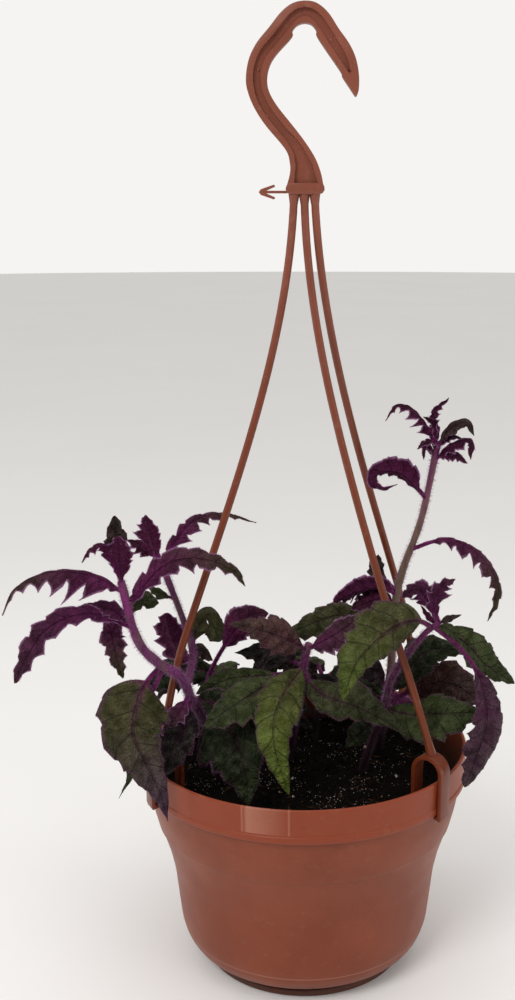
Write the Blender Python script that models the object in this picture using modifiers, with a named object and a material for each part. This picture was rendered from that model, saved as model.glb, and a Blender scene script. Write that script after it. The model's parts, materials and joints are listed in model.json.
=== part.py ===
"""A purple passion plant in its hanging pot: pot, soil, hanger and six leafy stems.

Sizes are in millimetres and become metres as each mesh is made. The origin is the centre of the
pot's flat underside, +Z is up, and -Y is the side that a visitor sees first.
"""

import math

import bmesh
import bpy
import numpy as np

MM = 0.001
GAP = 0.3

# The pot, after a common 6 inch hanging pot.
RIM_RADIUS = 80.0
POT_HEIGHT = 112.0
BAND_HEIGHT = 16.5
WALL = 1.9
SHOULDER_HEIGHT = 72.4
FOOT_RADIUS = 50.0
FLOOR_TOP = 8.6
TURN_STEPS = 40

# The soil fills the pot to here.
SOIL_TOP = 92.0
SOIL_ROUGHNESS = 0.9

# The hanger is one moulding: hook, three strands and three rim clips.
STRAND_TOP = 373.0
STRAND_FOOT = 124.0
STRAND_RADIUS = 1.75
STRAND_SPACING = 4.7
STRAND_REACH = 79.5
CLIP_INSET = 5.5
STRANDS = [
    {"azimuth": 207.3, "clip": 207.3, "side": -1, "bulge": 1.5},
    {"azimuth": -44.0, "clip": -38.0, "side": 0, "bulge": 0.0},
    {"azimuth": 38.6, "clip": 38.6, "side": 1, "bulge": 2.2},
]
HOOK_THICKNESS = 5.6
HOOK_WEB = 2.0
HOOK_LIP = 2.2
CLIP_WIDTH = 7.6
CLIP_THICKNESS = 2.0
CLIP_OPENING = 12.6
CLIP_TOP = 123.5
CLIP_FOOT = 93.6

# Blades are closed solids of this thickness, thicker along the midrib.
BLADE_HALF = 0.36
RIB_HALF = 0.75
PETIOLE_HALF = 1.0
TIP_HALF = 0.5
VEIN_SWEEP = 0.22

# A stem goes this far into the soil, and its route has a point this often.
ROOT_DEPTH = 14.0
STEM_STEP = 7.0


def clear_scene():
    for item in list(bpy.data.objects):
        bpy.data.objects.remove(item, do_unlink=True)


def new_collection(name, parent=None):
    group = bpy.data.collections.new(name)
    (parent or bpy.context.scene.collection).children.link(group)
    return group


def make_material(name, colour, roughness):
    material = bpy.data.materials.new(name)
    material.use_nodes = True
    shader = material.node_tree.nodes["Principled BSDF"]
    shader.inputs["Base Color"].default_value = (*colour, 1.0)
    shader.inputs["Roughness"].default_value = roughness
    shader.inputs["Metallic"].default_value = 0.0
    return material


def add_object(name, mesh, group, material=None):
    item = bpy.data.objects.new(name, mesh)
    group.objects.link(item)
    if material is not None:
        item.data.materials.append(material)
    return item


def as_cutter(item):
    item.hide_render = True
    item.display_type = "WIRE"
    return item


def baked_mesh(item):
    """The object's evaluated mesh with its loose caps welded; the object is removed."""
    bpy.context.view_layer.update()
    graph = bpy.context.evaluated_depsgraph_get()
    mesh = bpy.data.meshes.new_from_object(item.evaluated_get(graph))
    mesh.transform(item.matrix_world)
    shape = bmesh.new()
    shape.from_mesh(mesh)
    bmesh.ops.remove_doubles(shape, verts=shape.verts, dist=0.00002)
    bmesh.ops.recalc_face_normals(shape, faces=shape.faces)
    shape.to_mesh(mesh)
    shape.free()
    bpy.data.objects.remove(item, do_unlink=True)
    return mesh


def smooth_route(points, count):
    """A Catmull-Rom curve through the points, sampled at even steps of its length."""
    knots = np.array(points, dtype=float)
    ends = np.vstack([2 * knots[0] - knots[1], knots, 2 * knots[-1] - knots[-2]])
    dense = []
    for i in range(len(knots) - 1):
        a, b, c, d = ends[i:i + 4]
        for t in np.linspace(0.0, 1.0, 24, endpoint=False):
            dense.append(0.5 * ((2 * b) + (c - a) * t + (2 * a - 5 * b + 4 * c - d) * t**2
                                + (3 * b - a - 3 * c + d) * t**3))
    dense.append(knots[-1])
    dense = np.array(dense)
    length = np.concatenate([[0.0], np.cumsum(np.linalg.norm(np.diff(dense, axis=0), axis=1))])
    wanted = np.linspace(0.0, length[-1], count)
    return np.stack([np.interp(wanted, length, dense[:, k]) for k in range(3)], axis=1)


def tube_mesh(name, route, radii, resolution=2):
    """A round tube along a route in mm, as a curve with a bevel and filled caps, made a mesh."""
    curve = bpy.data.curves.new(name, "CURVE")
    curve.dimensions = "3D"
    curve.bevel_depth = MM
    curve.bevel_resolution = resolution
    curve.use_fill_caps = True
    spline = curve.splines.new("POLY")
    spline.points.add(len(route) - 1)
    for point, place, radius in zip(spline.points, route, radii):
        point.co = (place[0] * MM, place[1] * MM, place[2] * MM, 1.0)
        point.radius = radius
    return baked_mesh(add_object(name, curve, bpy.context.scene.collection))


def plate_mesh(name, outline, thickness):
    """A flat outline in the XZ plane, thickness along Y, as a filled 2D curve with an extrude."""
    curve = bpy.data.curves.new(name, "CURVE")
    curve.dimensions = "2D"
    curve.fill_mode = "BOTH"
    curve.extrude = thickness * MM / 2
    spline = curve.splines.new("POLY")
    spline.points.add(len(outline) - 1)
    for point, place in zip(spline.points, outline):
        point.co = (place[0] * MM, place[1] * MM, 0.0, 1.0)
    spline.use_cyclic_u = True
    item = add_object(name, curve, bpy.context.scene.collection)
    item.rotation_euler = (math.radians(90), 0.0, 0.0)
    return baked_mesh(item)


def boolean(item, operation, others, solver="EXACT"):
    """One applied Boolean of the object with all the meshes in others."""
    group = new_collection("operands")
    for number, mesh in enumerate(others):
        as_cutter(add_object(f"operand_{number}", mesh, group))
    modifier = item.modifiers.new("join", "BOOLEAN")
    modifier.operation = operation
    modifier.operand_type = "COLLECTION"
    modifier.collection = group
    modifier.solver = solver
    bpy.context.view_layer.update()
    graph = bpy.context.evaluated_depsgraph_get()
    mesh = bpy.data.meshes.new_from_object(item.evaluated_get(graph))
    item.modifiers.remove(modifier)
    item.data = mesh
    for operand in list(group.objects):
        bpy.data.objects.remove(operand, do_unlink=True)
    bpy.data.collections.remove(group)
    return item


def finish_round(item, angle=35):
    item.data.shade_smooth()
    item.data.set_sharp_from_angle(angle=math.radians(angle))


# The pot and the soil

def pot_profile():
    """Half section of the pot from the middle of its floor, up inside and down outside."""
    band_foot = POT_HEIGHT - BAND_HEIGHT
    inside = [(0.0, FLOOR_TOP), (52.0, FLOOR_TOP), (56.5, 11.5), (59.4, 18.0), (61.4, 30.0),
              (63.4, 48.0), (66.2, 60.0), (70.0, SHOULDER_HEIGHT), (73.8, 84.0), (76.6, 97.0),
              (RIM_RADIUS - WALL, POT_HEIGHT - 0.5)]
    rim = [(RIM_RADIUS - WALL + 0.5, POT_HEIGHT), (RIM_RADIUS - 0.5, POT_HEIGHT),
           (RIM_RADIUS - 0.1, POT_HEIGHT - 0.6), (RIM_RADIUS - 0.5, band_foot + 3.6),
           (RIM_RADIUS, band_foot + 3.0), (RIM_RADIUS, band_foot)]
    outside = [(77.4, band_foot), (75.7, 84.0), (72.8, SHOULDER_HEIGHT + 0.3),
               (72.0, SHOULDER_HEIGHT - 0.3), (68.0, 60.0), (65.3, 48.0), (63.3, 30.0),
               (62.1, 20.0), (60.0, 13.6), (57.0, 9.2), (54.8, 7.6), (47.6, 6.4), (47.6, 4.2),
               (FOOT_RADIUS, 3.6), (FOOT_RADIUS, 0.8), (FOOT_RADIUS - 1.0, 0.0), (0.0, 0.0)]
    return inside + rim + outside


def turned_mesh(name, profile):
    mesh = bpy.data.meshes.new(name)
    verts = [(r * MM, 0.0, z * MM) for r, z in profile]
    mesh.from_pydata(verts, [(i, i + 1) for i in range(len(verts) - 1)], [])
    item = add_object(name, mesh, bpy.context.scene.collection)
    screw = item.modifiers.new("turn", "SCREW")
    screw.steps = TURN_STEPS
    screw.render_steps = TURN_STEPS
    screw.use_merge_vertices = True
    screw.merge_threshold = 0.00005
    return baked_mesh(item)


def make_pot(group):
    material = make_material("moulded terracotta plastic", (0.262, 0.082, 0.045), 0.42)
    item = add_object("pot", turned_mesh("pot", pot_profile()), group, material)
    finish_round(item)
    return item


def soil_profile():
    rings = [(r, SOIL_TOP) for r in (0.0, 12.0, 24.0, 36.0, 48.0, 59.0, 69.0)]
    wall = [(75.3 - GAP, SOIL_TOP - 0.6), (73.8 - GAP, 84.0), (70.0 - GAP, SHOULDER_HEIGHT),
            (66.2 - GAP, 60.0), (63.4 - GAP, 48.0), (61.4 - GAP, 30.0), (59.4 - GAP, 18.0),
            (56.5 - GAP, 11.7), (52.0, FLOOR_TOP + GAP), (0.0, FLOOR_TOP + GAP)]
    return rings + wall


def make_soil(group, roots):
    material = make_material("dark potting mix", (0.018, 0.012, 0.009), 0.95)
    mesh = turned_mesh("soil", soil_profile())
    for vert in mesh.vertices:
        x, y, z = (value / MM for value in vert.co)
        if z > SOIL_TOP - 0.3 and math.hypot(x, y) < 70.0:
            lift = math.sin(0.31 * x + 1.3) * math.cos(0.27 * y - 0.4) + 0.6 * math.sin(0.5 * y + 0.2 * x)
            vert.co.z += SOIL_ROUGHNESS * lift * MM
    item = add_object("soil", mesh, group, material)
    holes = [tube_mesh("hole", route, [r + GAP for r in radii]) for route, radii in roots]
    boolean(item, "DIFFERENCE", holes)
    finish_round(item, 50)
    return item


# The hanger

HOOK_OUTER = [(-8.0, 378.0), (-6.5, 383.5), (-6.5, 388.0), (-8.5, 394.0), (-17.0, 404.0),
              (-21.5, 410.5), (-24.5, 417.0), (-25.8, 423.5), (-24.5, 432.0), (-21.0, 439.0),
              (-15.5, 445.5), (-10.0, 452.0), (-5.0, 455.5), (0.5, 456.5), (5.5, 455.5),
              (10.5, 451.5), (15.0, 445.0), (19.5, 439.0), (22.5, 433.0), (24.0, 426.0),
              (24.0, 419.5), (23.0, 416.5)]
HOOK_INNER = [(22.3, 416.8), (16.8, 424.8), (16.0, 427.0), (6.0, 441.0), (5.3, 444.0),
              (3.3, 446.5), (0.0, 447.3), (-3.2, 446.3), (-5.3, 444.0), (-5.5, 441.5),
              (-12.5, 434.0), (-15.5, 429.0), (-16.5, 423.5), (-15.5, 418.5), (-12.0, 412.5),
              (-5.0, 404.0), (0.5, 397.0), (5.0, 390.0), (7.5, 383.5), (8.6, 378.0)]
RECESS_LINE = [(0.6, 379.6), (0.5, 384.0), (-0.5, 390.5), (-5.4, 397.5), (-12.2, 405.8), (-17.6, 413.8),
               (-20.6, 420.5), (-20.8, 427.2), (-18.2, 434.4), (-12.8, 440.6), (-7.8, 446.5),
               (-4.3, 450.3), (0.2, 452.0), (4.6, 450.3), (8.3, 446.0), (12.4, 439.8),
               (16.6, 433.6), (20.2, 426.6)]
RECESS_HALF = [5.0, 4.9, 4.4, 2.9, 2.4, 2.3, 2.2, 2.2, 2.2, 2.0, 1.9, 1.9, 1.9, 1.9, 1.9, 1.9, 1.6, 0.6]


def recess_outline():
    """The sunk channel of the hook: a band along its middle line, narrowing to the point."""
    line = np.array(RECESS_LINE)
    along = np.gradient(line, axis=0)
    along /= np.linalg.norm(along, axis=1)[:, None]
    across = np.stack([-along[:, 1], along[:, 0]], axis=1)
    half = np.array(RECESS_HALF)[:, None]
    left = line + across * half
    right = line - across * half
    return [tuple(p) for p in left] + [tuple(p) for p in right[::-1]]


def strand_route(strand, count=17):
    """The strand's bow, from inside the hook's foot to inside the arch of its rim clip."""
    route = [(strand["side"] * STRAND_SPACING, 0.0, STRAND_TOP + 3.0)]
    for t in np.linspace(0.0, 1.0, count):
        last = max(0.0, (t - 0.8) / 0.2)
        reach = STRAND_REACH * (0.09 * t + 1.67 * t**2 - 0.76 * t**3) - CLIP_INSET * last**1.5
        angle = math.radians(strand["azimuth"] + (strand["clip"] - strand["azimuth"]) * last)
        spread = (STRAND_SPACING + strand["bulge"] * 4 * t * (1 - t)) * math.sqrt(1 - t)
        height = STRAND_TOP + (STRAND_FOOT - STRAND_TOP) * t
        route.append((reach * math.cos(angle) + strand["side"] * spread,
                      reach * math.sin(angle), height))
    route.append((route[-1][0], route[-1][1], CLIP_TOP - 1.2))
    return route


def clip_outline():
    """The rim clip as an upside-down U in radius and height, with a hooked outer foot."""
    outer = RIM_RADIUS + GAP + CLIP_THICKNESS
    inner = outer - CLIP_OPENING - 2 * CLIP_THICKNESS
    middle = (outer + inner) / 2
    radius = (outer - inner) / 2
    spring = CLIP_TOP - radius
    arc = [(middle + radius * math.cos(a), spring + radius * math.sin(a))
           for a in np.linspace(0.0, math.pi, 13)]
    hollow = radius - CLIP_THICKNESS
    back = [(middle + hollow * math.cos(a), spring + hollow * math.sin(a))
            for a in np.linspace(math.pi, 0.0, 11)]
    nub = RIM_RADIUS - 1.6
    foot = [(outer - CLIP_THICKNESS, CLIP_FOOT + 1.4), (nub, CLIP_FOOT + 1.4), (nub, CLIP_FOOT),
            (outer - 0.5, CLIP_FOOT - 0.8), (outer, CLIP_FOOT + 1.0)]
    toe = [(inner, 99.0), (inner + CLIP_THICKNESS, 99.0)]
    return arc + toe + back + foot


def make_hanger(group):
    material = make_material("moulded hanger plastic", (0.300, 0.095, 0.055), 0.36)
    item = add_object("hanger", plate_mesh("hook", HOOK_OUTER + HOOK_INNER, HOOK_THICKNESS), group,
                      material)
    channels = []
    for side in (-1, 1):
        channel = plate_mesh("channel", recess_outline(), HOOK_THICKNESS)
        shift = side * (HOOK_WEB + HOOK_THICKNESS) / 2 * MM
        for vert in channel.vertices:
            vert.co.y += shift
        channels.append(channel)
    boolean(item, "DIFFERENCE", channels)
    base = [(-8.2, 375.0), (9.2, 375.0), (9.6, 376.6), (8.8, 379.4), (-8.2, 379.4), (-8.8, 376.6)]
    pieces = [plate_mesh("base", base, HOOK_THICKNESS + 0.6)]
    pieces.append(plate_mesh("shaft", [(-19.0, 374.9), (-19.0, 376.1), (-7.5, 376.1), (-7.5, 374.9)], 2.0))
    barb = [(-20.6, 375.5), (-19.6, 376.8), (-13.6, 378.8), (-13.2, 377.8), (-17.6, 375.9),
            (-17.6, 375.1), (-13.2, 373.2), (-13.6, 372.2), (-19.6, 374.2)]
    pieces.append(plate_mesh("barb", barb, 2.4))
    for strand in STRANDS:
        route = strand_route(strand)
        radii = [STRAND_RADIUS + 0.3 * max(0.0, 1 - k / 2) for k in range(len(route) - 2)] + [2.4, 2.4]
        pieces.append(tube_mesh("strand", route, radii, resolution=1))
        clip = plate_mesh("clip", clip_outline(), CLIP_WIDTH)
        turn_mesh(clip, strand["clip"])
        pieces.append(clip)
    boolean(item, "UNION", pieces)
    finish_round(item)
    return item


def turn_mesh(mesh, azimuth):
    """Turns a mesh made in the XZ plane about Z to the azimuth in degrees."""
    c, s = math.cos(math.radians(azimuth)), math.sin(math.radians(azimuth))
    for vert in mesh.vertices:
        x, y = vert.co.x, vert.co.y
        vert.co.x, vert.co.y = c * x - s * y, s * x + c * y


# Leaves. A blade is one closed loft of six-sided sections along its midrib.

def leaf(path, faces, half, teeth=4, droop=10, bare=0.1, widest=0.42, depth=0.3, taper=0.8):
    """One leaf's design.

    path is a few points in mm from the stem to the tip, and faces is the way the upper side looks.
    half holds the half widths in mm, right and left. teeth is how many each edge has, and depth is
    how deep they cut as a share of the width. The halves droop from flat by droop degrees. bare is
    the petiole's share of the length, widest is where the blade is widest, and a larger taper
    draws the tip out.
    """
    return {"path": path, "faces": faces, "half": half, "teeth": teeth, "droop": droop,
            "bare": bare, "widest": widest, "depth": depth, "taper": taper}


def half_widths(design, stations, side):
    """Half widths in mm at the stations, for side 0 (right) or 1 (left)."""
    bare = design["bare"]
    along = np.clip((stations - bare) / (1.0 - bare), 0.0, 1.0)
    rise = np.sin(np.pi / 2 * np.clip(along / design["widest"], 0.0, 1.0))**0.6
    fall = np.clip((1.0 - along) / (1.0 - design["widest"]), 0.0, 1.0)**design["taper"]
    phase = along * design["teeth"] + 0.5 * side
    tooth = np.floor(phase)
    notch = 1.0 - 2.0 * np.abs(phase - tooth - 0.5)
    cut = design["depth"] * (1.0 + 0.25 * np.sin(2.7 * tooth + 1.9 * side))
    width = design["half"][side] * np.minimum(rise, fall) * (1.0 - cut * (1.0 - notch))
    smallest = PETIOLE_HALF + (TIP_HALF - PETIOLE_HALF) * along
    return np.maximum(width, smallest)


def leaf_stations(design):
    """Stations along the midrib: the petiole, each tooth and notch of both edges, and the tip."""
    bare = design["bare"]
    steps = 2 * design["teeth"]
    blade = [bare + (1.0 - bare) * k / steps for k in range(1, steps + 1)]
    petiole = [0.0, bare / 2, bare] if bare > 0.2 else [0.0, bare]
    return np.array(petiole + blade)


def leaf_mesh(design):
    """A blade and its petiole as one loft, both faces split into triangles alike."""
    count = 101
    dense = smooth_route(design["path"], count)
    even = np.linspace(0.0, 1.0, count)
    stations = leaf_stations(design)
    slopes = np.gradient(dense, axis=0)
    spots = np.stack([np.interp(stations, even, dense[:, k]) for k in range(3)], axis=1)
    along = np.stack([np.interp(stations, even, slopes[:, k]) for k in range(3)], axis=1)
    along /= np.linalg.norm(along, axis=1)[:, None]
    face = np.array(design["faces"], dtype=float)
    normal = face - (along @ face)[:, None] * along
    normal /= np.linalg.norm(normal, axis=1)[:, None]
    across = np.cross(along, normal)
    droop = math.radians(design["droop"])
    edges = []
    for side, sign in ((0, 1), (1, -1)):
        reach = sign * math.cos(droop) * across - math.sin(droop) * normal + VEIN_SWEEP * along
        edges.append(keep_forward(spots, along, reach, half_widths(design, stations, side)))
    right, left = edges
    rib = (BLADE_HALF + (RIB_HALF - BLADE_HALF) * (1.0 - stations))[:, None] * normal
    rim = BLADE_HALF / math.cos(droop) * normal
    rings = np.stack([right + rim, spots + rib, left + rim, left - rim, spots - rib, right - rim], axis=1)
    return loft_mesh("leaf", rings)


def keep_forward(spots, along, reach, width):
    """Edge points, drawn in where a tight bend would make them run back on themselves."""
    width = width.copy()
    spacing = np.linalg.norm(np.diff(spots, axis=0), axis=1)
    for _ in range(12):
        edge = spots + reach * width[:, None]
        run = np.einsum("ij,ij->i", np.diff(edge, axis=0), along[:-1])
        short = run < 0.2 * spacing
        if not short.any():
            break
        width[:-1][short] *= 0.8
        width[1:][short] *= 0.8
    return spots + reach * width[:, None]


def loft_mesh(name, rings):
    """A closed solid through rings of six: three points on the upper face and three below."""
    verts = [tuple(p * MM) for ring in rings for p in ring]
    strips = [(0, 1, False), (1, 2, True), (5, 4, False), (4, 3, True), (2, 3, False), (5, 0, False)]
    faces = []
    for ring in range(len(rings) - 1):
        a, b = 6 * ring, 6 * (ring + 1)
        for lo, hi, flip in strips:
            if flip:
                faces += [(a + lo, a + hi, b + lo), (a + hi, b + hi, b + lo)]
            else:
                faces += [(a + lo, a + hi, b + hi), (a + lo, b + hi, b + lo)]
    end = 6 * (len(rings) - 1)
    faces += [(0, 5, 4, 1), (1, 4, 3, 2)]
    faces += [(end + 5, end, end + 1, end + 4), (end + 4, end + 1, end + 2, end + 3)]
    mesh = bpy.data.meshes.new(name)
    mesh.from_pydata(verts, [], faces)
    shape = bmesh.new()
    shape.from_mesh(mesh)
    bmesh.ops.triangulate(shape, faces=[f for f in shape.faces if len(f.verts) > 3])
    bmesh.ops.recalc_face_normals(shape, faces=shape.faces)
    shape.to_mesh(mesh)
    shape.free()
    return mesh


# The stems: a few points of each route, from the soil to the tip, and the radius at both ends

STEMS = {
    "left": {"route": [(-45, 25, 92), (-49, 12, 113), (-53, -18, 137), (-57, -37, 158),
                       (-66, -44, 167), (-75, -48, 180), (-81, -51, 208)], "radii": (2.7, 2.1)},
    "branch": {"route": [(-55, -31, 151), (-53, -19, 163), (-58, -12, 178), (-68, -16, 209)],
               "radii": (1.9, 1.5)},
    "centre": {"route": [(-9, 17, 92), (-4, 10, 120), (-1, -2, 147), (2, -6, 163)],
               "radii": (2.2, 2.0)},
    "tall": {"route": [(38, 28, 92), (43, 16, 136), (46, 14, 184), (57, 14, 220), (64, 12, 258)],
             "radii": (2.4, 1.8)},
    "right": {"route": [(29, 5, 92), (38, -10, 130), (42, -24, 154), (53, -40, 178), (61, -44, 187)],
              "radii": (1.8, 1.5)},
    "back_left": {"route": [(-24, 36, 92), (-27, 42, 106), (-35, 46, 124)], "radii": (1.9, 1.5)},
    "back_right": {"route": [(6, 46, 92), (7, 50, 105), (10, 57, 122)], "radii": (1.9, 1.5)},
}

LEFT_LEAVES = [
    # the crown over the bend, with young leaves above it
    leaf([(-81, -50, 203), (-93, -53, 211), (-111, -56, 213.5), (-127, -55, 206), (-134, -53, 193)],
         (0, -0.45, 0.9), (13, 14), teeth=5, droop=46, bare=0.04, widest=0.28, depth=0.5, taper=1.5),
    leaf([(-79, -47, 185), (-88, -52, 192), (-99, -58, 195), (-113, -61, 189), (-122, -60, 176),
          (-129, -58, 163)],
         (-0.1, -0.8, 0.55), (7.5, 6), teeth=4, droop=8, bare=0.05, widest=0.7, depth=0.4, taper=0.6),
    leaf([(-79, -47, 187), (-86, -50, 195), (-98, -53, 198)],
         (0, -0.8, 0.6), (4.5, 5), teeth=2, droop=8, widest=0.4),
    leaf([(-81, -51, 207), (-81, -52, 216), (-82, -49, 228)],
         (0, 0.95, 0.3), (8, 7), teeth=4, droop=-22, widest=0.55, taper=0.6),
    leaf([(-82, -49, 208), (-83, -44, 219), (-84, -43, 236)],
         (0, -0.95, 0.3), (6, 6), teeth=3, droop=-12, bare=0.15, widest=0.5, taper=0.6),
    leaf([(-82, -50, 211), (-88, -50, 223), (-94, -52, 223), (-98, -52, 217)],
         (-0.2, -0.5, 0.85), (4, 4.5), teeth=3, droop=35, bare=0.25, widest=0.4, depth=0.5),
    # the leaf that reaches in front of the strand, and the small ones beside it
    leaf([(-79, -49, 196), (-71, -50, 206), (-60, -46, 215), (-45, -40, 215), (-32, -35, 208), (-27, -32, 200)],
         (0.05, -0.72, 0.68), (7, 10), teeth=5, droop=20, bare=0.02, widest=0.5, depth=0.5),
    leaf([(-79, -46, 192), (-74, -42, 196), (-66, -38, 194)],
         (0.1, -0.8, 0.6), (5, 6), teeth=2, widest=0.6),
    leaf([(-79, -45, 190), (-86, -42, 184), (-87, -41, 176), (-83, -42, 159)],
         (-0.05, -0.98, 0.2), (7, 7), teeth=4, droop=12, bare=0.12, depth=0.35, taper=0.7),
    # the large leaf over the rim, the one below it, and those on the inner side
    leaf([(-67, -43, 165), (-73, -49, 157), (-77, -57, 140), (-72, -61, 128), (-65, -62, 112), (-62, -60, 97)],
         (0.1, -0.92, 0.38), (19, 17), teeth=6, bare=0.12, widest=0.16, depth=0.2, taper=1.1),
    leaf([(-67, -40, 163), (-78, -46, 134), (-79, -47, 116), (-86, -47, 102)],
         (-0.1, -0.98, 0.1), (8, 4), teeth=3, droop=8, bare=0.42, widest=0.2, depth=0.5, taper=1.3),
    leaf([(-55, -28, 144), (-59, -37, 139), (-65, -40, 134)],
         (0, -0.85, 0.5), (6, 5), teeth=2, droop=5, bare=0.2, widest=0.5),
    leaf([(-54, -24, 141), (-56, -39, 134), (-61, -46, 126), (-64, -49, 115)],
         (-0.1, -0.95, 0.3), (10, 10), teeth=3, bare=0.15, widest=0.55, taper=0.6),
    leaf([(-53, -21, 138), (-44, -20, 138), (-33, -33, 127), (-27, -46, 115), (-26, -52, 101)],
         (-0.1, -0.85, 0.5), (22, 15), teeth=5, droop=8, bare=0.03, widest=0.4, depth=0.22, taper=0.8),
    leaf([(-51, -3, 125), (-47, 11, 142), (-37, 12, 160), (-27, 16, 170), (-18, 20, 170)],
         (0.1, -0.6, 0.8), (9, 12), teeth=4, droop=15, bare=0.55, widest=0.45, depth=0.25, taper=0.7),
]

BRANCH_LEAVES = [
    leaf([(-67, -15, 209), (-71, -14, 217), (-74, -13, 229)],
         (0, 0.95, 0.3), (9.5, 5), teeth=3, droop=-18, bare=0.08, widest=0.5),
    leaf([(-68, -16, 208), (-76, -19, 216), (-82, -20, 219)],
         (0, -0.5, 0.85), (4, 6), teeth=2, droop=20, bare=0.2, widest=0.5),
    leaf([(-66, -15, 207), (-61, -9, 215), (-52, -4, 224), (-38, 0, 226), (-23, 4, 221)],
         (0, -0.65, 0.75), (7, 6), teeth=5, droop=25, bare=0.05, widest=0.32, depth=0.6, taper=1.1),
    leaf([(-61, -12, 188), (-68, -14, 191), (-74, -15, 195)],
         (0, -0.6, 0.8), (3, 3.5), teeth=2, bare=0.2),
    leaf([(-54, -22, 159), (-60, -12, 162), (-64, -6, 168), (-67, -4, 178)],
         (0, 0.95, 0.3), (13, 9), teeth=4, droop=-12, bare=0.08, widest=0.5, taper=0.6),
    leaf([(-53, -17, 163), (-52, -13, 172), (-46, -12, 178), (-40, -14, 167)],
         (0.1, -0.8, 0.6), (9, 6.5), teeth=3, droop=12, bare=0.15, widest=0.6, taper=0.6),
    leaf([(-54, -23, 157), (-51, -14, 163), (-44, -10, 156)],
         (0.2, -0.8, 0.6), (5.5, 4), teeth=3, bare=0.2, widest=0.5),
]

CENTRE_LEAVES = [
    leaf([(0, -6, 160), (-8, -12, 167), (-26, -19, 176), (-36, -20, 178)],
         (-0.05, -0.75, 0.65), (12, 10), teeth=5, droop=12, bare=0.08, widest=0.35, taper=1.0),
    leaf([(-1, 2, 151), (-15, 11, 154), (-35, 15, 151)],
         (0, -0.7, 0.7), (8, 14), teeth=4, droop=12, bare=0.15, widest=0.4, taper=1.1),
    leaf([(-1, -4, 150), (-9, -25, 146), (-14, -42, 138), (-13, -49, 125), (-7, -50, 105)],
         (0.05, -0.85, 0.5), (12, 12.5), teeth=6, droop=12, bare=0.03, widest=0.38, depth=0.2),
    leaf([(-2, -2, 149), (-19, -22, 147), (-37, -41, 142), (-46, -45, 137)],
         (-0.1, -0.7, 0.7), (11, 14), teeth=5, droop=8, bare=0.22, widest=0.5, depth=0.25, taper=0.7),
    leaf([(-2, 0, 148), (-24, 3, 143), (-37, -4, 144), (-52, -15, 141)],
         (-0.1, -0.62, 0.78), (8, 8.5), teeth=4, bare=0.25, widest=0.6, depth=0.25),
    leaf([(2, -6, 160), (15, -12, 170), (30, -15, 182)],
         (0.05, -0.62, 0.78), (11, 9.5), teeth=4, droop=12, bare=0.08),
    leaf([(0, -3, 147), (8, -18, 142), (26, -34, 141), (39, -44, 138), (46, -47, 134)],
         (0, -0.72, 0.7), (9.5, 15), teeth=5, droop=6, bare=0.1, widest=0.4, depth=0.25, taper=1.0),
    leaf([(1, 0, 148), (6, 3, 141), (14, 6, 138), (19, 8, 133)],
         (0, -0.75, 0.65), (6.5, 5), teeth=3, droop=6, bare=0.2, widest=0.5),
]

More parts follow.
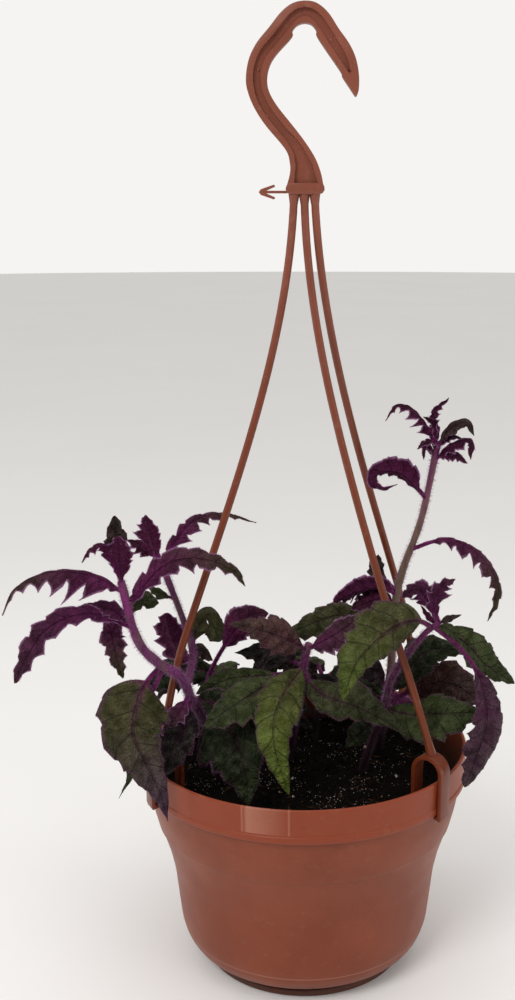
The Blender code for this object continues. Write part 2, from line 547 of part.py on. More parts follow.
TALL_LEAVES = [
    # the rosette at the top
    leaf([(63, 13, 256), (59, 10, 266), (51, 4, 276), (43, 2, 278), (38, 1, 271)],
         (0, -0.5, 0.85), (7, 7.5), teeth=4, droop=40, widest=0.4, depth=0.6, taper=1.1),
    leaf([(64, 14, 256), (62, 16, 271), (69, 14, 280)],
         (-0.7, -0.6, 0.3), (5, 3), teeth=3, droop=0, bare=0.15, depth=0.5),
    leaf([(64, 12, 257), (68, 7, 265), (76, 3, 270), (80, 1, 264)],
         (0, -0.55, 0.8), (4.5, 5), teeth=3, droop=15),
    leaf([(63, 12, 250), (69, 8, 257), (78, 3, 261), (79, 3, 252)],
         (0, -0.55, 0.8), (5.5, 5), teeth=3, droop=25, bare=0.08, depth=0.45),
    leaf([(64, 11, 257), (70, 8, 262), (75, 5, 262)],
         (0, -0.5, 0.85), (3, 3), teeth=2, droop=20),
    leaf([(63, 13, 254), (58, 10, 259), (54, 9, 256)],
         (0, -0.5, 0.85), (3.5, 3.5), teeth=2, droop=30),
    leaf([(63, 12, 253), (58, 8, 257), (57, 8, 251)],
         (0, -0.5, 0.85), (2.5, 2), teeth=1, droop=15),
    leaf([(63, 12, 257), (62, 13, 267), (57, 13, 271)],
         (0.5, -0.7, 0.3), (3.5, 2.5), teeth=2, droop=5),
    leaf([(64, 12, 252), (71, 6, 254), (77, 0, 251)],
         (0, -0.6, 0.8), (4.5, 4), teeth=3, droop=25),
    leaf([(63, 11, 256), (60, 4, 261), (55, 1, 259)],
         (0, -0.6, 0.8), (3.5, 3.5), teeth=2, droop=20),
    # the leaves along the stem
    leaf([(59, 14, 230), (54, 9, 237), (46, 6, 245), (36, 4, 246), (33, 1, 242), (37, -1, 239), (44, -1, 241)],
         (0.1, 0.85, 0.45), (5.5, 9), teeth=5, droop=-14, bare=0.16, widest=0.35, depth=0.3, taper=1.1),
    leaf([(53, 14, 205), (67, 7, 212), (79, -3, 210), (88, -8, 202), (92, -12, 190), (87, -14, 177)],
         (0.15, -0.6, 0.75), (7, 7), teeth=6, droop=38, bare=0.14, widest=0.45, depth=0.55, taper=0.8),
    leaf([(46, 14, 181), (38, 9, 187), (28, 5, 187), (14, 2, 182)],
         (0, 0.8, 0.55), (13, 9), teeth=4, droop=-15, bare=0.12, widest=0.5, taper=0.6),
    leaf([(46, 14, 175), (38, 9, 181), (23, 5, 177)],
         (0, -0.7, 0.7), (9, 8), teeth=3, widest=0.5),
    leaf([(46, 14, 183), (37, 9, 194), (36, 7, 204)],
         (0.1, -0.8, 0.55), (3.5, 6), teeth=3, bare=0.3, widest=0.6),
    leaf([(44, 12, 155), (38, 12, 163), (18, 13, 171), (-8, 6, 164)],
         (0, -0.75, 0.65), (9, 12), teeth=5, droop=12, bare=0.2, widest=0.5, taper=0.6),
    leaf([(43, 17, 130), (36, 12, 141), (25, 8, 151)],
         (0, -0.8, 0.6), (7, 7), teeth=3, bare=0.2, widest=0.5),
    leaf([(43, 17, 131), (48, 6, 128), (53, -4, 124)],
         (0, -0.8, 0.6), (7, 7), teeth=3, bare=0.2, widest=0.5),
    leaf([(41, 21, 117), (33, 13, 113), (21, 4, 105)],
         (0, -0.6, 0.8), (8, 8), teeth=3, bare=0.2, widest=0.5),
]

RIGHT_LEAVES = [
    # the long leaf that falls in front of the strand
    leaf([(58, -44, 184), (50, -52, 190), (39, -57, 188), (24, -61, 175), (17, -58, 155)],
         (0.05, -0.93, 0.36), (16, 9.5), teeth=6, droop=8, bare=0.16, widest=0.32, depth=0.25),
    # the crown
    leaf([(59, -43, 187), (57, -42, 194), (51, -41, 201), (44, -42, 198)],
         (-0.1, -0.75, 0.6), (7, 6), teeth=3, droop=15, bare=0.3, widest=0.4, taper=0.7),
    leaf([(59, -43, 188), (58, -44, 196), (62, -46, 205), (67, -47, 208)],
         (0.1, -0.8, 0.5), (6.5, 5), teeth=3, droop=15, widest=0.5, depth=0.5),
    leaf([(58, -45, 186), (55, -47, 191), (52, -48, 196)],
         (0, -0.9, 0.4), (2, 1.5), teeth=1),
    leaf([(60, -45, 186), (65, -48, 190), (70, -49, 192)],
         (0, -0.85, 0.5), (2, 2), teeth=2),
    leaf([(60, -45, 184), (65, -49, 185), (69, -51, 180)],
         (0.1, -0.85, 0.5), (3, 3), teeth=2),
    # the two that arch and hang to the right
    leaf([(61, -43, 182), (72, -46, 178), (82, -46, 167), (96, -43, 157)],
         (0.25, -0.8, 0.5), (7, 11), teeth=5, droop=8, bare=0.08, widest=0.45, depth=0.35, taper=0.7),
    leaf([(60, -46, 182), (70, -53, 177), (78, -56, 165), (82, -55, 146), (79, -52, 128), (74, -48, 108)],
         (0.3, -0.92, 0.15), (8, 11), teeth=6, droop=12, bare=0.3, widest=0.6, depth=0.35, taper=0.6),
    # the three low ones behind them
    leaf([(40, -12, 135), (47, -13, 149), (60, -15, 163), (75, -17, 163)],
         (0.1, -0.8, 0.6), (10, 10), teeth=5, droop=8, bare=0.15, widest=0.5, taper=0.7),
    leaf([(41, -12, 134), (55, -10, 142), (70, -15, 146), (83, -26, 141)],
         (0.15, -0.85, 0.45), (11, 12), teeth=5, droop=8, bare=0.22, widest=0.5, depth=0.25, taper=0.6),
    leaf([(40, -14, 131), (50, -22, 133), (63, -31, 137), (82, -38, 141)],
         (0.1, -0.72, 0.68), (15.5, 12.5), teeth=5, droop=8, bare=0.05, widest=0.5, depth=0.25, taper=0.7),
]

BACK_LEFT_LEAVES = [
    leaf([(-35, 46, 122), (-42, 59, 125), (-49, 76, 120), (-57, 90, 96)],
         (-0.3, 0.6, 0.75), (13, 13), teeth=5, bare=0.15),
    leaf([(-34, 46, 122), (-50, 45, 129), (-66, 41, 132), (-84, 38, 122)],
         (-0.1, -0.85, 0.5), (10, 12), teeth=5, bare=0.25, widest=0.5),
    leaf([(-31, 45, 118), (-48, 57, 124), (-68, 62, 121), (-84, 66, 101)],
         (-0.5, 0.4, 0.75), (12, 12), teeth=5, bare=0.15),
    leaf([(-33, 46, 121), (-22, 42, 134), (-8, 38, 144), (2, 36, 143)],
         (0, -0.7, 0.7), (9, 9), teeth=4, bare=0.2, widest=0.5),
    leaf([(-27, 42, 106), (-19, 54, 113), (-11, 64, 113)],
         (0, -0.5, 0.85), (8, 8), teeth=3, bare=0.15),
    leaf([(-30, 44, 113), (-42, 39, 114), (-55, 34, 107), (-63, 29, 100)],
         (0, -0.85, 0.5), (10, 11), teeth=4, bare=0.12, widest=0.5),
    leaf([(-29, 43, 110), (-20, 36, 116), (-8, 33, 117), (3, 33, 112)],
         (0, -0.8, 0.6), (10, 10), teeth=4, bare=0.15, widest=0.5),
    leaf([(-26, 40, 101), (-15, 44, 105), (-4, 45, 103), (5, 42, 98)],
         (0, -0.8, 0.6), (7, 5), teeth=3, bare=0.1, widest=0.5),
]

BACK_RIGHT_LEAVES = [
    leaf([(10, 57, 122), (6, 68, 127), (0, 82, 121), (-4, 96, 94)],
         (0, 0.65, 0.75), (13, 13), teeth=5, bare=0.12),
    leaf([(9, 56, 119), (20, 66, 125), (31, 77, 121), (38, 88, 97)],
         (0.3, 0.6, 0.75), (11, 11), teeth=5, bare=0.15),
    leaf([(8, 53, 112), (-2, 47, 123), (-14, 47, 125)],
         (0, -0.6, 0.8), (7, 8), teeth=3, bare=0.15),
    leaf([(7, 50, 106), (16, 43, 112), (27, 38, 110)],
         (0.2, -0.5, 0.9), (8, 8), teeth=3, bare=0.15),
    leaf([(9, 55, 117), (21, 52, 124), (34, 50, 123), (45, 47, 115)],
         (0.1, -0.8, 0.6), (10, 11), teeth=4, bare=0.1, widest=0.5),
    leaf([(8, 52, 110), (22, 54, 112), (38, 50, 108), (48, 44, 103)],
         (0.1, -0.8, 0.6), (9, 9), teeth=3, bare=0.1, widest=0.5),
]

# Which stems make each node, and which of the two leaf finishes it has
SHOOTS = {
    "shoot_left": ([("left", LEFT_LEAVES), ("branch", BRANCH_LEAVES)], "purple"),
    "shoot_centre": ([("centre", CENTRE_LEAVES)], "green"),
    "shoot_tall": ([("tall", TALL_LEAVES)], "purple"),
    "shoot_right": ([("right", RIGHT_LEAVES)], "green"),
    "shoot_back_left": ([("back_left", BACK_LEFT_LEAVES)], "green"),
    "shoot_back_right": ([("back_right", BACK_RIGHT_LEAVES)], "green"),
}


def stem_route(name):
    """The stem's smooth route in mm and its radii, with a root below the soil's top."""
    stem = STEMS[name]
    points = [np.array(p, dtype=float) for p in stem["route"]]
    if name != "branch":
        down = points[0] - points[1]
        points.insert(0, points[0] + down / np.linalg.norm(down) * ROOT_DEPTH)
    length = sum(np.linalg.norm(b - a) for a, b in zip(points, points[1:]))
    route = smooth_route(points, max(4, round(length / STEM_STEP)))
    return route, np.linspace(*stem["radii"], len(route))


def seated(design, route):
    """The leaf with its root moved to the middle of its stem."""
    fine = smooth_route(route, 200)
    root = np.array(design["path"][0], dtype=float)
    nearest = fine[np.argmin(np.linalg.norm(fine - root, axis=1))]
    return dict(design, path=[nearest] + design["path"][1:])


def make_shoot(name, stems, group, material):
    """One leafy stem: the tubes of the stem and its branch with their leaves, as one solid."""
    item = None
    pieces = []
    for stem, designs in stems:
        route, radii = stem_route(stem)
        tube = tube_mesh(stem, route, radii)
        if item is None:
            item = add_object(name, tube, group, material)
        else:
            pieces.append(tube)
        pieces += [leaf_mesh(seated(design, route)) for design in designs]
    boolean(item, "UNION", pieces, "MANIFOLD")
    finish_round(item)
    return item


def root_hole(name):
    """The stretch of a stem that stands in the soil, a little longer at both ends."""
    route, radii = stem_route(name)
    down = route[0] - route[1]
    below = route[0] + down / np.linalg.norm(down) * 2 * GAP
    inside = [below] + [p for p in route if p[2] < SOIL_TOP + 14.0]
    return inside, [radii[0]] * len(inside)


def make_shoots(group):
    finishes = {"green": make_material("green velvet leaf", (0.062, 0.055, 0.030), 0.7),
                "purple": make_material("purple velvet leaf", (0.085, 0.022, 0.065), 0.7)}
    for name, (stems, finish) in SHOOTS.items():
        make_shoot(name, stems, group, finishes[finish])


def main():
    clear_scene()
    group = new_collection("purple_passion_plant")
    make_pot(group)
    make_soil(group, [root_hole(name) for name in STEMS if name != "branch"])
    make_hanger(group)
    make_shoots(group)


main()
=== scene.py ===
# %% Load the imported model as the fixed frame
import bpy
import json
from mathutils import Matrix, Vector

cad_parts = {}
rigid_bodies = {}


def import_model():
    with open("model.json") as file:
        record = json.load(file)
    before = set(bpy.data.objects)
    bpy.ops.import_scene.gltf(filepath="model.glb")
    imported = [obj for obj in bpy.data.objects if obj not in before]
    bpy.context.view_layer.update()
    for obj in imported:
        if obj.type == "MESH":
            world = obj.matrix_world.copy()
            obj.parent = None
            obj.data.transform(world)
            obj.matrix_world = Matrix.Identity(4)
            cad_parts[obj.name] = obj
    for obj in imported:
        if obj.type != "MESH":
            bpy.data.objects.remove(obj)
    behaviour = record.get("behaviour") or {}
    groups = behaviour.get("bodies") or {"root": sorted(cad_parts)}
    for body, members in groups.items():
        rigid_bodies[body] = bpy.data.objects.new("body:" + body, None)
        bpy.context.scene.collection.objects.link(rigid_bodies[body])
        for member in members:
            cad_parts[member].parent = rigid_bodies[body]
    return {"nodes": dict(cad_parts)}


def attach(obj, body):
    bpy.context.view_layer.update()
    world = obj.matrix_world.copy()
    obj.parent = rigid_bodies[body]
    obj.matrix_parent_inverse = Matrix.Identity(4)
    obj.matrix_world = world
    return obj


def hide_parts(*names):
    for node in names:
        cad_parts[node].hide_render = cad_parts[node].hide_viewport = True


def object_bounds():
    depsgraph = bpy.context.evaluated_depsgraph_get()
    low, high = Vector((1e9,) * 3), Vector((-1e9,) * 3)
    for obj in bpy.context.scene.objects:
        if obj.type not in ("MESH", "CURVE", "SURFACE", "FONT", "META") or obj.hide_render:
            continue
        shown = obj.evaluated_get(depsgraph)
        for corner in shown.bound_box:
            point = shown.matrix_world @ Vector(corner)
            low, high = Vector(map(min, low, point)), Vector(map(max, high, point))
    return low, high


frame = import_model()
cad_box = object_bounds()
print("nodes in the frame:", ", ".join(sorted(frame["nodes"])))

# %% [markdown]
# A purple passion plant is a soft, velvety plant in a hanging pot. Everything you see here is made by
# code: leaves, stems and hairs by rules, the pot by turning a profile, the hanger from outlines. All
# sizes in the tables are millimetres, and they become metres when a mesh is made. The origin is the
# middle of the pot's underside.

# %% Modules and small helpers
import json
import math

import bmesh
import bpy
import numpy as np

MM = 0.001


def paint(code):
    """An sRGB hex colour as the linear colour that Blender mixes."""
    parts = [int(code[k:k + 2], 16) / 255 for k in (1, 3, 5)]
    return tuple(c / 12.92 if c <= 0.04045 else ((c + 0.055) / 1.055)**2.4 for c in parts) + (1.0,)


def add(tree, kind, inputs=None, **settings):
    """One node with its settings; each input is a value, an output, or a node for its first output."""
    node = tree.nodes.new(kind)
    for name, value in settings.items():
        setattr(node, name, value)
    for key, value in (inputs or {}).items():
        if isinstance(value, bpy.types.Node):
            value = next(output for output in value.outputs if output.enabled)
        if isinstance(value, bpy.types.NodeSocket):
            tree.links.new(value, node.inputs[key])
        else:
            node.inputs[key].default_value = value
    return node


def new_piece(name, mesh, finish=None):
    """A mesh as an object at the origin, with the finish added if one is given."""
    piece = bpy.data.objects.new(name, mesh)
    bpy.context.scene.collection.objects.link(piece)
    if finish:
        mesh.materials.append(finish)
    return piece


def count_triangles(mesh):
    return sum(len(face.vertices) - 2 for face in mesh.polygons)


print("a millimetre is", MM, "of Blender's metres")

# %% [markdown]
# The camera stands where the photographer stood: level with the hook's foot, looking 13 degrees down.
# It could be aimed by eye, but its place, lens and shift were worked out from the ellipses of the rim
# and of the foot, so that every part lands where the photograph shows it. The standard view transform
# keeps the hex colours below as they are written, where the filmic one of a new scene would wash the
# dark leaves out.

# %% Camera
CAMERA_PLACE = (0.0, -0.600, 0.3742)
LOOKING_DOWN = 13.24
LENS, SIDEWAYS_SHIFT = 46.66, -0.0469

camera = bpy.data.objects.new("camera", bpy.data.cameras.new("camera"))
bpy.context.scene.collection.objects.link(camera)
camera.location = CAMERA_PLACE
camera.rotation_euler = (math.radians(90 - LOOKING_DOWN), 0.0, 0.0)
camera.data.lens = LENS
camera.data.sensor_fit = "VERTICAL"
camera.data.sensor_height = 36.0
camera.data.shift_x = SIDEWAYS_SHIFT
camera.data.clip_start = 0.01
bpy.context.scene.camera = camera
bpy.context.scene.view_settings.view_transform = "Standard"
print("camera looks", LOOKING_DOWN, "degrees down")

# %% [markdown]
# Soft light suits a plant: large lamps give the pot broad highlights without hard shadows. The room
# lights from above, as a large soft ceiling does, because the shade between the leaves has to stay deep
# while the floor stays pale. The camera itself sees the room evenly bright. A sky picture would light it
# as well, but it would have to be read from a file.

# %% Lamps and the room's light
CEILING, WALLS = 1.35, 0.10  # what the ceiling adds straight above, and the strength at eye level
LAMPS = [
    # name, place, aim, width, height, power
    ("key", (-0.55, -1.00, 1.15), (0.0, 0.0, 0.16), 0.55, 0.45, 8.8),
    ("fill", (0.95, -0.95, 0.75), (0.0, 0.0, 0.16), 0.8, 0.8, 2.6),
    ("left_strip", (-0.85, -0.05, 0.25), (0.0, 0.0, 0.10), 0.20, 0.9, 1.6),
    ("right_strip", (0.85, -0.05, 0.25), (0.0, 0.0, 0.10), 0.20, 0.9, 1.6),
]
for name, place, aim, width, height, power in LAMPS:
    light = bpy.data.lights.new(name, "AREA")
    light.shape = "RECTANGLE"
    light.size, light.size_y, light.energy = width, height, power
    lamp = bpy.data.objects.new(name, light)
    bpy.context.scene.collection.objects.link(lamp)
    lamp.location = place
    way = np.array(aim) - np.array(place)
    lamp.rotation_euler = (math.atan2(math.hypot(way[0], way[1]), -way[2]), 0.0,
                           math.atan2(-way[0], way[1]))

world = bpy.data.worlds.new("pale room")
bpy.context.scene.world = world
world.use_nodes = True
sky = world.node_tree
room = sky.nodes["Background"]
room.inputs["Color"].default_value = paint("#F6F4F2")
up = add(sky, "ShaderNodeTexCoord").outputs["Generated"]
up = add(sky, "ShaderNodeSeparateXYZ", {0: up}).outputs[2]
up = add(sky, "ShaderNodeMath", {0: up, 1: 0.0}, operation="MAXIMUM")
steep = add(sky, "ShaderNodeMath", {0: up, 1: 2.0}, operation="POWER")
above = add(sky, "ShaderNodeMath", {0: steep, 1: CEILING, 2: WALLS}, operation="MULTIPLY_ADD")
seen = add(sky, "ShaderNodeLightPath").outputs["Is Camera Ray"]
strength = add(sky, "ShaderNodeMix", {0: seen, 2: above, 3: 1.0}, data_type="FLOAT")
sky.links.new(strength.outputs[0], room.inputs["Strength"])
print("lamps:", len(LAMPS))

# %% [markdown]
# The floor is one large round face with a matt, nearly white paint. A plane would do as well, but its
# corners could come into view from above.

# %% Floor
FLOOR_RADIUS, FLOOR_SIDES = 6.0, 64
floor_paint = bpy.data.materials.new("pale painted floor")
floor_paint.use_nodes = True
tree = floor_paint.node_tree
cloudy = add(tree, "ShaderNodeTexNoise", {"Scale": 40.0, "Detail": 3.0})
tint = add(tree, "ShaderNodeMix", {0: cloudy, 6: paint("#F1F0EE"), 7: paint("#F7F6F4")},
           data_type="RGBA")
tree.links.new(tint.outputs[2], tree.nodes["Principled BSDF"].inputs["Base Color"])
tree.nodes["Principled BSDF"].inputs["Roughness"].default_value = 0.8
ring = [(FLOOR_RADIUS * math.cos(a), FLOOR_RADIUS * math.sin(a), 0.0)
        for a in np.linspace(0, 2 * math.pi, FLOOR_SIDES, False)]
floor_mesh = bpy.data.meshes.new("floor")
floor_mesh.from_pydata(ring, [], [tuple(range(FLOOR_SIDES))])
floor = new_piece("floor", floor_mesh, floor_paint)
print("floor:", 2 * FLOOR_RADIUS, "m across")

# %% [markdown]
# Two parts of this object follow a line: the stems and the hanger's strands. One Geometry Nodes tree
# makes both: it sweeps a circle along a curve, with one radius at the foot and one at the tip, and a
# gentle swelling on the way. A curve that keeps its bevel would also do, but the tree gives the swelling
# and works on every route alike. All trees here end the same way: instances become real mesh, because
# the export drops instances, and the mesh gets its finish.

# %% The tree that sweeps a round stem along a route


def new_tree(name, sizes):
    """A geometry tree with a geometry input, its named inputs, and a geometry output."""
    tree = bpy.data.node_groups.new(name, "GeometryNodeTree")
    for label, kind, value in [("Geometry", "Geometry", None)] + sizes + [("Finish", "Material", None)]:
        socket = tree.interface.new_socket(name=label, in_out="INPUT", socket_type="NodeSocket" + kind)
        if value is not None:
            socket.default_value = value
    tree.interface.new_socket(name="Geometry", in_out="OUTPUT", socket_type="NodeSocketGeometry")
    return tree


def end_tree(tree, geometry, finish):
    """Real mesh, its finish and the group's output, as the last three nodes."""
    real = add(tree, "GeometryNodeRealizeInstances", {"Geometry": geometry})
    done = add(tree, "GeometryNodeSetMaterial", {"Geometry": real, "Material": finish})
    add(tree, "NodeGroupOutput", {"Geometry": done})
    print("tree:", tree.name, "with", len(tree.nodes), "nodes")
    return tree


def stem_tree():
    tree = new_tree("round stem along a route", [
        ("Foot radius", "Float", 0.002), ("Tip radius", "Float", 0.002), ("Swelling", "Float", 0.0),
        ("Swelling size", "Float", 0.008), ("Sides", "Int", 12), ("Fuzz", "Float", 0.0),
        ("Tone", "Color", (1, 1, 1, 1)), ("Tip tone", "Color", (1, 1, 1, 1))])
    given = add(tree, "NodeGroupInput").outputs
    share = add(tree, "GeometryNodeSplineParameter")
    radius = add(tree, "ShaderNodeMapRange", {"Value": share, "To Min": given["Foot radius"],
                                              "To Max": given["Tip radius"]})
    place = add(tree, "GeometryNodeInputPosition")
    often = add(tree, "ShaderNodeMath", {0: 1.0, 1: given["Swelling size"]}, operation="DIVIDE")
    knots = add(tree, "ShaderNodeTexNoise", {"Vector": place, "Scale": often, "Detail": 1.0})
    knots = add(tree, "ShaderNodeMath", {0: knots, 1: 0.5}, operation="SUBTRACT")
    swell = add(tree, "ShaderNodeMath", {0: knots, 1: given["Swelling"], 2: 1.0},
                operation="MULTIPLY_ADD")
    radius = add(tree, "ShaderNodeMath", {0: radius, 1: swell}, operation="MULTIPLY")
    # The colour turns to the tip's in the last quarter of the way
    late = add(tree, "ShaderNodeMapRange", {"Value": share, "From Min": 0.75})
    colour = add(tree, "ShaderNodeMix", {0: late, 6: given["Tone"], 7: given["Tip tone"]},
                 data_type="RGBA")
    painted = add(tree, "GeometryNodeStoreNamedAttribute", {
        "Geometry": given["Geometry"], "Name": "tone", "Value": colour}, data_type="FLOAT_COLOR")
    circle = add(tree, "GeometryNodeCurvePrimitiveCircle", {"Resolution": given["Sides"], "Radius": 1.0})
    swept = add(tree, "GeometryNodeCurveToMesh", {
        "Curve": painted, "Scale": radius, "Profile Curve": circle, "Fill Caps": True})
    fuzzy = add(tree, "GeometryNodeStoreNamedAttribute", {
        "Geometry": swept, "Name": "fuzz", "Value": given["Fuzz"]})
    return end_tree(tree, fuzzy, given["Finish"])


STEM_TREE = stem_tree()

# %% Routes, and what a tree grows from them
SPANS = 24  # samples between two points of a route


def real_mesh(item):
    """The mesh of an object with its modifiers applied."""
    bpy.context.view_layer.update()
    return bpy.data.meshes.new_from_object(item.evaluated_get(bpy.context.evaluated_depsgraph_get()))


def grown(name, source, tree, sizes):
    """The mesh that a tree makes from a curve or mesh; the source and its modifier are removed."""
    holder = bpy.data.objects.new(name + "_source", source)
    bpy.context.scene.collection.objects.link(holder)
    modifier = holder.modifiers.new("grow", "NODES")
    modifier.node_group = tree
    for item in tree.interface.items_tree:
        if item.in_out == "INPUT" and item.name in sizes:
            modifier[item.identifier] = sizes[item.name]
    mesh = real_mesh(holder)
    mesh.name = name
    holder.modifiers.remove(modifier)
    bpy.data.objects.remove(holder, do_unlink=True)
    return mesh


def smooth_route(points, count):
    """A Catmull-Rom curve through the points, sampled at even steps of its length."""
    knots = np.array(points, dtype=float)
    ends = np.vstack([2 * knots[0] - knots[1], knots, 2 * knots[-1] - knots[-2]])
    dense = []
    for i in range(len(knots) - 1):
        a, b, c, d = ends[i:i + 4]
        for t in np.linspace(0.0, 1.0, SPANS, endpoint=False):
            dense.append(0.5 * ((2 * b) + (c - a) * t + (2 * a - 5 * b + 4 * c - d) * t**2
                                + (3 * b - a - 3 * c + d) * t**3))
    dense.append(knots[-1])
    dense = np.array(dense)
    length = np.concatenate([[0.0], np.cumsum(np.linalg.norm(np.diff(dense, axis=0), axis=1))])
    wanted = np.linspace(0.0, length[-1], count)
    return np.stack([np.interp(wanted, length, column) for column in dense.T], axis=1)


def route_curve(name, route):
    """An open curve through a route in mm."""
    curve = bpy.data.curves.new(name, "CURVE")
    curve.dimensions = "3D"
    spline = curve.splines.new("POLY")
    spline.points.add(len(route) - 1)
    for point, place in zip(spline.points, route):
        point.co = (place[0] * MM, place[1] * MM, place[2] * MM, 1.0)
    return curve


print("samples between two points of a route:", SPANS)

# %% [markdown]
# The velvet is real hair: every leaf and stem of this plant carries a coat of fine purple or pale
# hairs about a millimetre long. Hair curves would be lost on export, so a second tree scatters points
# on the surface and stands a thin three-sided spike, closed at its foot, on each. The real hairs are
# some 0.03 mm thick; they are drawn two to four times as thick, so that they still show as a fringe at
# this size.

# %% The tree that grows hairs on a surface
PER_SQUARE_MM = 1e6
SHORT_HAIR, LONG_HAIR = 0.45, 1.15


def hair_tree():
    tree = new_tree("velvet hairs", [
        ("Hairs per square mm", "Float", 1.0), ("Length", "Float", 0.0011),
        ("Thickness", "Float", 0.00004), ("Lean", "Float", 0.5),
        ("Lowest corner", "Vector", (-1, -1, -1)), ("Highest corner", "Vector", (1, 1, 1)),
        ("Seed", "Int", 1)])
    given = add(tree, "NodeGroupInput").outputs
    fuzz = add(tree, "GeometryNodeInputNamedAttribute", {"Name": "fuzz"}, data_type="FLOAT")
    dense = add(tree, "ShaderNodeMath", {0: given["Hairs per square mm"], 1: PER_SQUARE_MM},
                operation="MULTIPLY")
    dense = add(tree, "ShaderNodeMath", {0: dense, 1: fuzz}, operation="MULTIPLY")
    # No hair grows outside the two corners, so none stands out of the object's box
    place = add(tree, "GeometryNodeInputPosition")
    inside = add(tree, "ShaderNodeVectorMath", {0: place, 1: given["Lowest corner"]},
                 operation="MAXIMUM")
    inside = add(tree, "ShaderNodeVectorMath", {0: inside, 1: given["Highest corner"]},
                 operation="MINIMUM")
    off = add(tree, "ShaderNodeVectorMath", {0: place, 1: inside}, operation="DISTANCE")
    near = add(tree, "ShaderNodeMath", {0: off, 1: 1e-6}, operation="LESS_THAN")
    dense = add(tree, "ShaderNodeMath", {0: dense, 1: near}, operation="MULTIPLY")
    points = add(tree, "GeometryNodeDistributePointsOnFaces", {
        "Mesh": given["Geometry"], "Density": dense, "Seed": given["Seed"]})
    astray = add(tree, "FunctionNodeRandomValue", {
        "Min": (-1, -1, -1), "Max": (1, 1, 1), "Seed": given["Seed"]}, data_type="FLOAT_VECTOR")
    lean = add(tree, "ShaderNodeVectorMath", {0: astray, "Scale": given["Lean"]}, operation="SCALE")
    aim = add(tree, "ShaderNodeVectorMath", {0: points.outputs["Normal"], 1: lean})
    turn = add(tree, "FunctionNodeAlignRotationToVector", {"Vector": aim}, axis="Z")
    spike = add(tree, "GeometryNodeMeshCone", {
        "Vertices": 3, "Radius Top": 0.0, "Radius Bottom": given["Thickness"],
        "Depth": given["Length"]}, fill_type="NGON")
    size = add(tree, "FunctionNodeRandomValue", {2: SHORT_HAIR, 3: LONG_HAIR, "Seed": given["Seed"]},
               data_type="FLOAT")
    placed = add(tree, "GeometryNodeInstanceOnPoints", {
        "Points": points, "Instance": spike, "Rotation": turn, "Scale": size})
    return end_tree(tree, placed, given["Finish"])


HAIR_TREE = hair_tree()

# %% [markdown]
# A leaf of this plant is fleshy and soft, with a sunken midrib, side veins that run out to large
# hooked teeth, and a purple margin. Young leaves are all maroon under purple hairs, and older ones
# turn olive and green. The colour of a leaf comes with its mesh as an attribute, and so does the place
# on the blade, so one material can draw veins that follow each leaf, whatever way it curls.

# %% Leaf colours by age
BLADE_TONES = {
    # tone: (colour at the foot of the blade, colour at its tip)
    "maroon": ("#44142F", "#351622"), "plum": ("#481C3A", "#3A1D2C"), "dusk": ("#382826", "#2E2220"),
    "wine_olive": ("#4C283C", "#40302C"), "turning": ("#4A1C38", "#38381F"),
    "umber": ("#4C2E30", "#3E2A28"), "bark": ("#3E2220", "#302020"), "olive": ("#3C3A20", "#34351E"),
    "moss": ("#384020", "#2E351B"), "fern": ("#34361E", "#2D311C"), "bright": ("#4A4E22", "#5A6828"),
    # The first two tones on the next line, nearly black, are painted shade, for leaves that lie deep
    # inside the plant.
    "shade": ("#191F0E", "#1D2410"), "deep_shade": ("#1E1418", "#191213"), "bronze": ("#3C3A20", "#472E42"),
    "fresh": ("#403F22", "#566429"), "hanging": ("#442038", "#3A2630"),
}
YOUNG = {"maroon", "plum", "wine_olive", "turning"}
PETIOLE_TONE = "#6A1E56"
STEM_TONES = {"left": "#5E2452", "branch": "#552348", "centre": "#541C40", "tall": "#6A5446",
              "right": "#481C38", "back_left": "#3C1E30", "back_right": "#3C1E30"}
print("tones:", len(BLADE_TONES))

# %% [markdown]
# Most finishes here are built from the same few steps: patches of a real size, fine lines that fade to
# both sides, and coats that lie over what is there already. The helpers below put those steps
# together, so that a finish reads as its coats, from the body outwards.

# %% Steps that the finishes share
SOFT = {"interpolation_type": "SMOOTHSTEP"}


def new_finish(name):
    """A new material with its tree, its shader and the coordinates that stay with the piece."""
    finish = bpy.data.materials.new(name)
    finish.use_nodes = True
    tree = finish.node_tree
    spot = add(tree, "ShaderNodeTexCoord").outputs["Object"]
    return finish, tree, tree.nodes["Principled BSDF"], spot


def patches(tree, spot, size, detail, low, high, to_low=0.0, to_high=1.0, **more):
    """Noise with patches of a size in mm, its range from low to high stretched to the two ends."""
    field = add(tree, "ShaderNodeTexNoise", {
        "Vector": spot, "Scale": 1 / (size * MM), "Detail": detail, **more})
    return add(tree, "ShaderNodeMapRange", {
        "Value": field, "From Min": low, "From Max": high, "To Min": to_low, "To Max": to_high})


def fine_line(tree, value, centre, core, reach, strength=1.0, **settings):
    """A line where the value is near its centre: full as far as its core, and gone at its reach."""
    off = add(tree, "ShaderNodeMath", {0: value, 1: centre}, operation="SUBTRACT")
    off = add(tree, "ShaderNodeMath", {0: off}, operation="ABSOLUTE")
    return add(tree, "ShaderNodeMapRange", {
        "Value": off, "From Min": core, "From Max": reach, "To Min": strength, "To Max": 0.0}, **settings)


def lightened(tree, colour, light):
    """The colour multiplied by a grey of the given lightness."""
    grey = add(tree, "ShaderNodeCombineColor", {0: light, 1: light, 2: light})
    return add(tree, "ShaderNodeMix", {0: 1.0, 6: colour, 7: grey}, data_type="RGBA",
               blend_type="MULTIPLY")


def coat(tree, colour, code, *masks):
    """A coat of one colour over what is there, as dense as the product of its masks."""
    cover = masks[0]
    for mask in masks[1:]:
        cover = add(tree, "ShaderNodeMath", {0: cover, 1: mask}, operation="MULTIPLY")
    return add(tree, "ShaderNodeMix", {0: cover, 6: colour, 7: paint(code)}, data_type="RGBA")


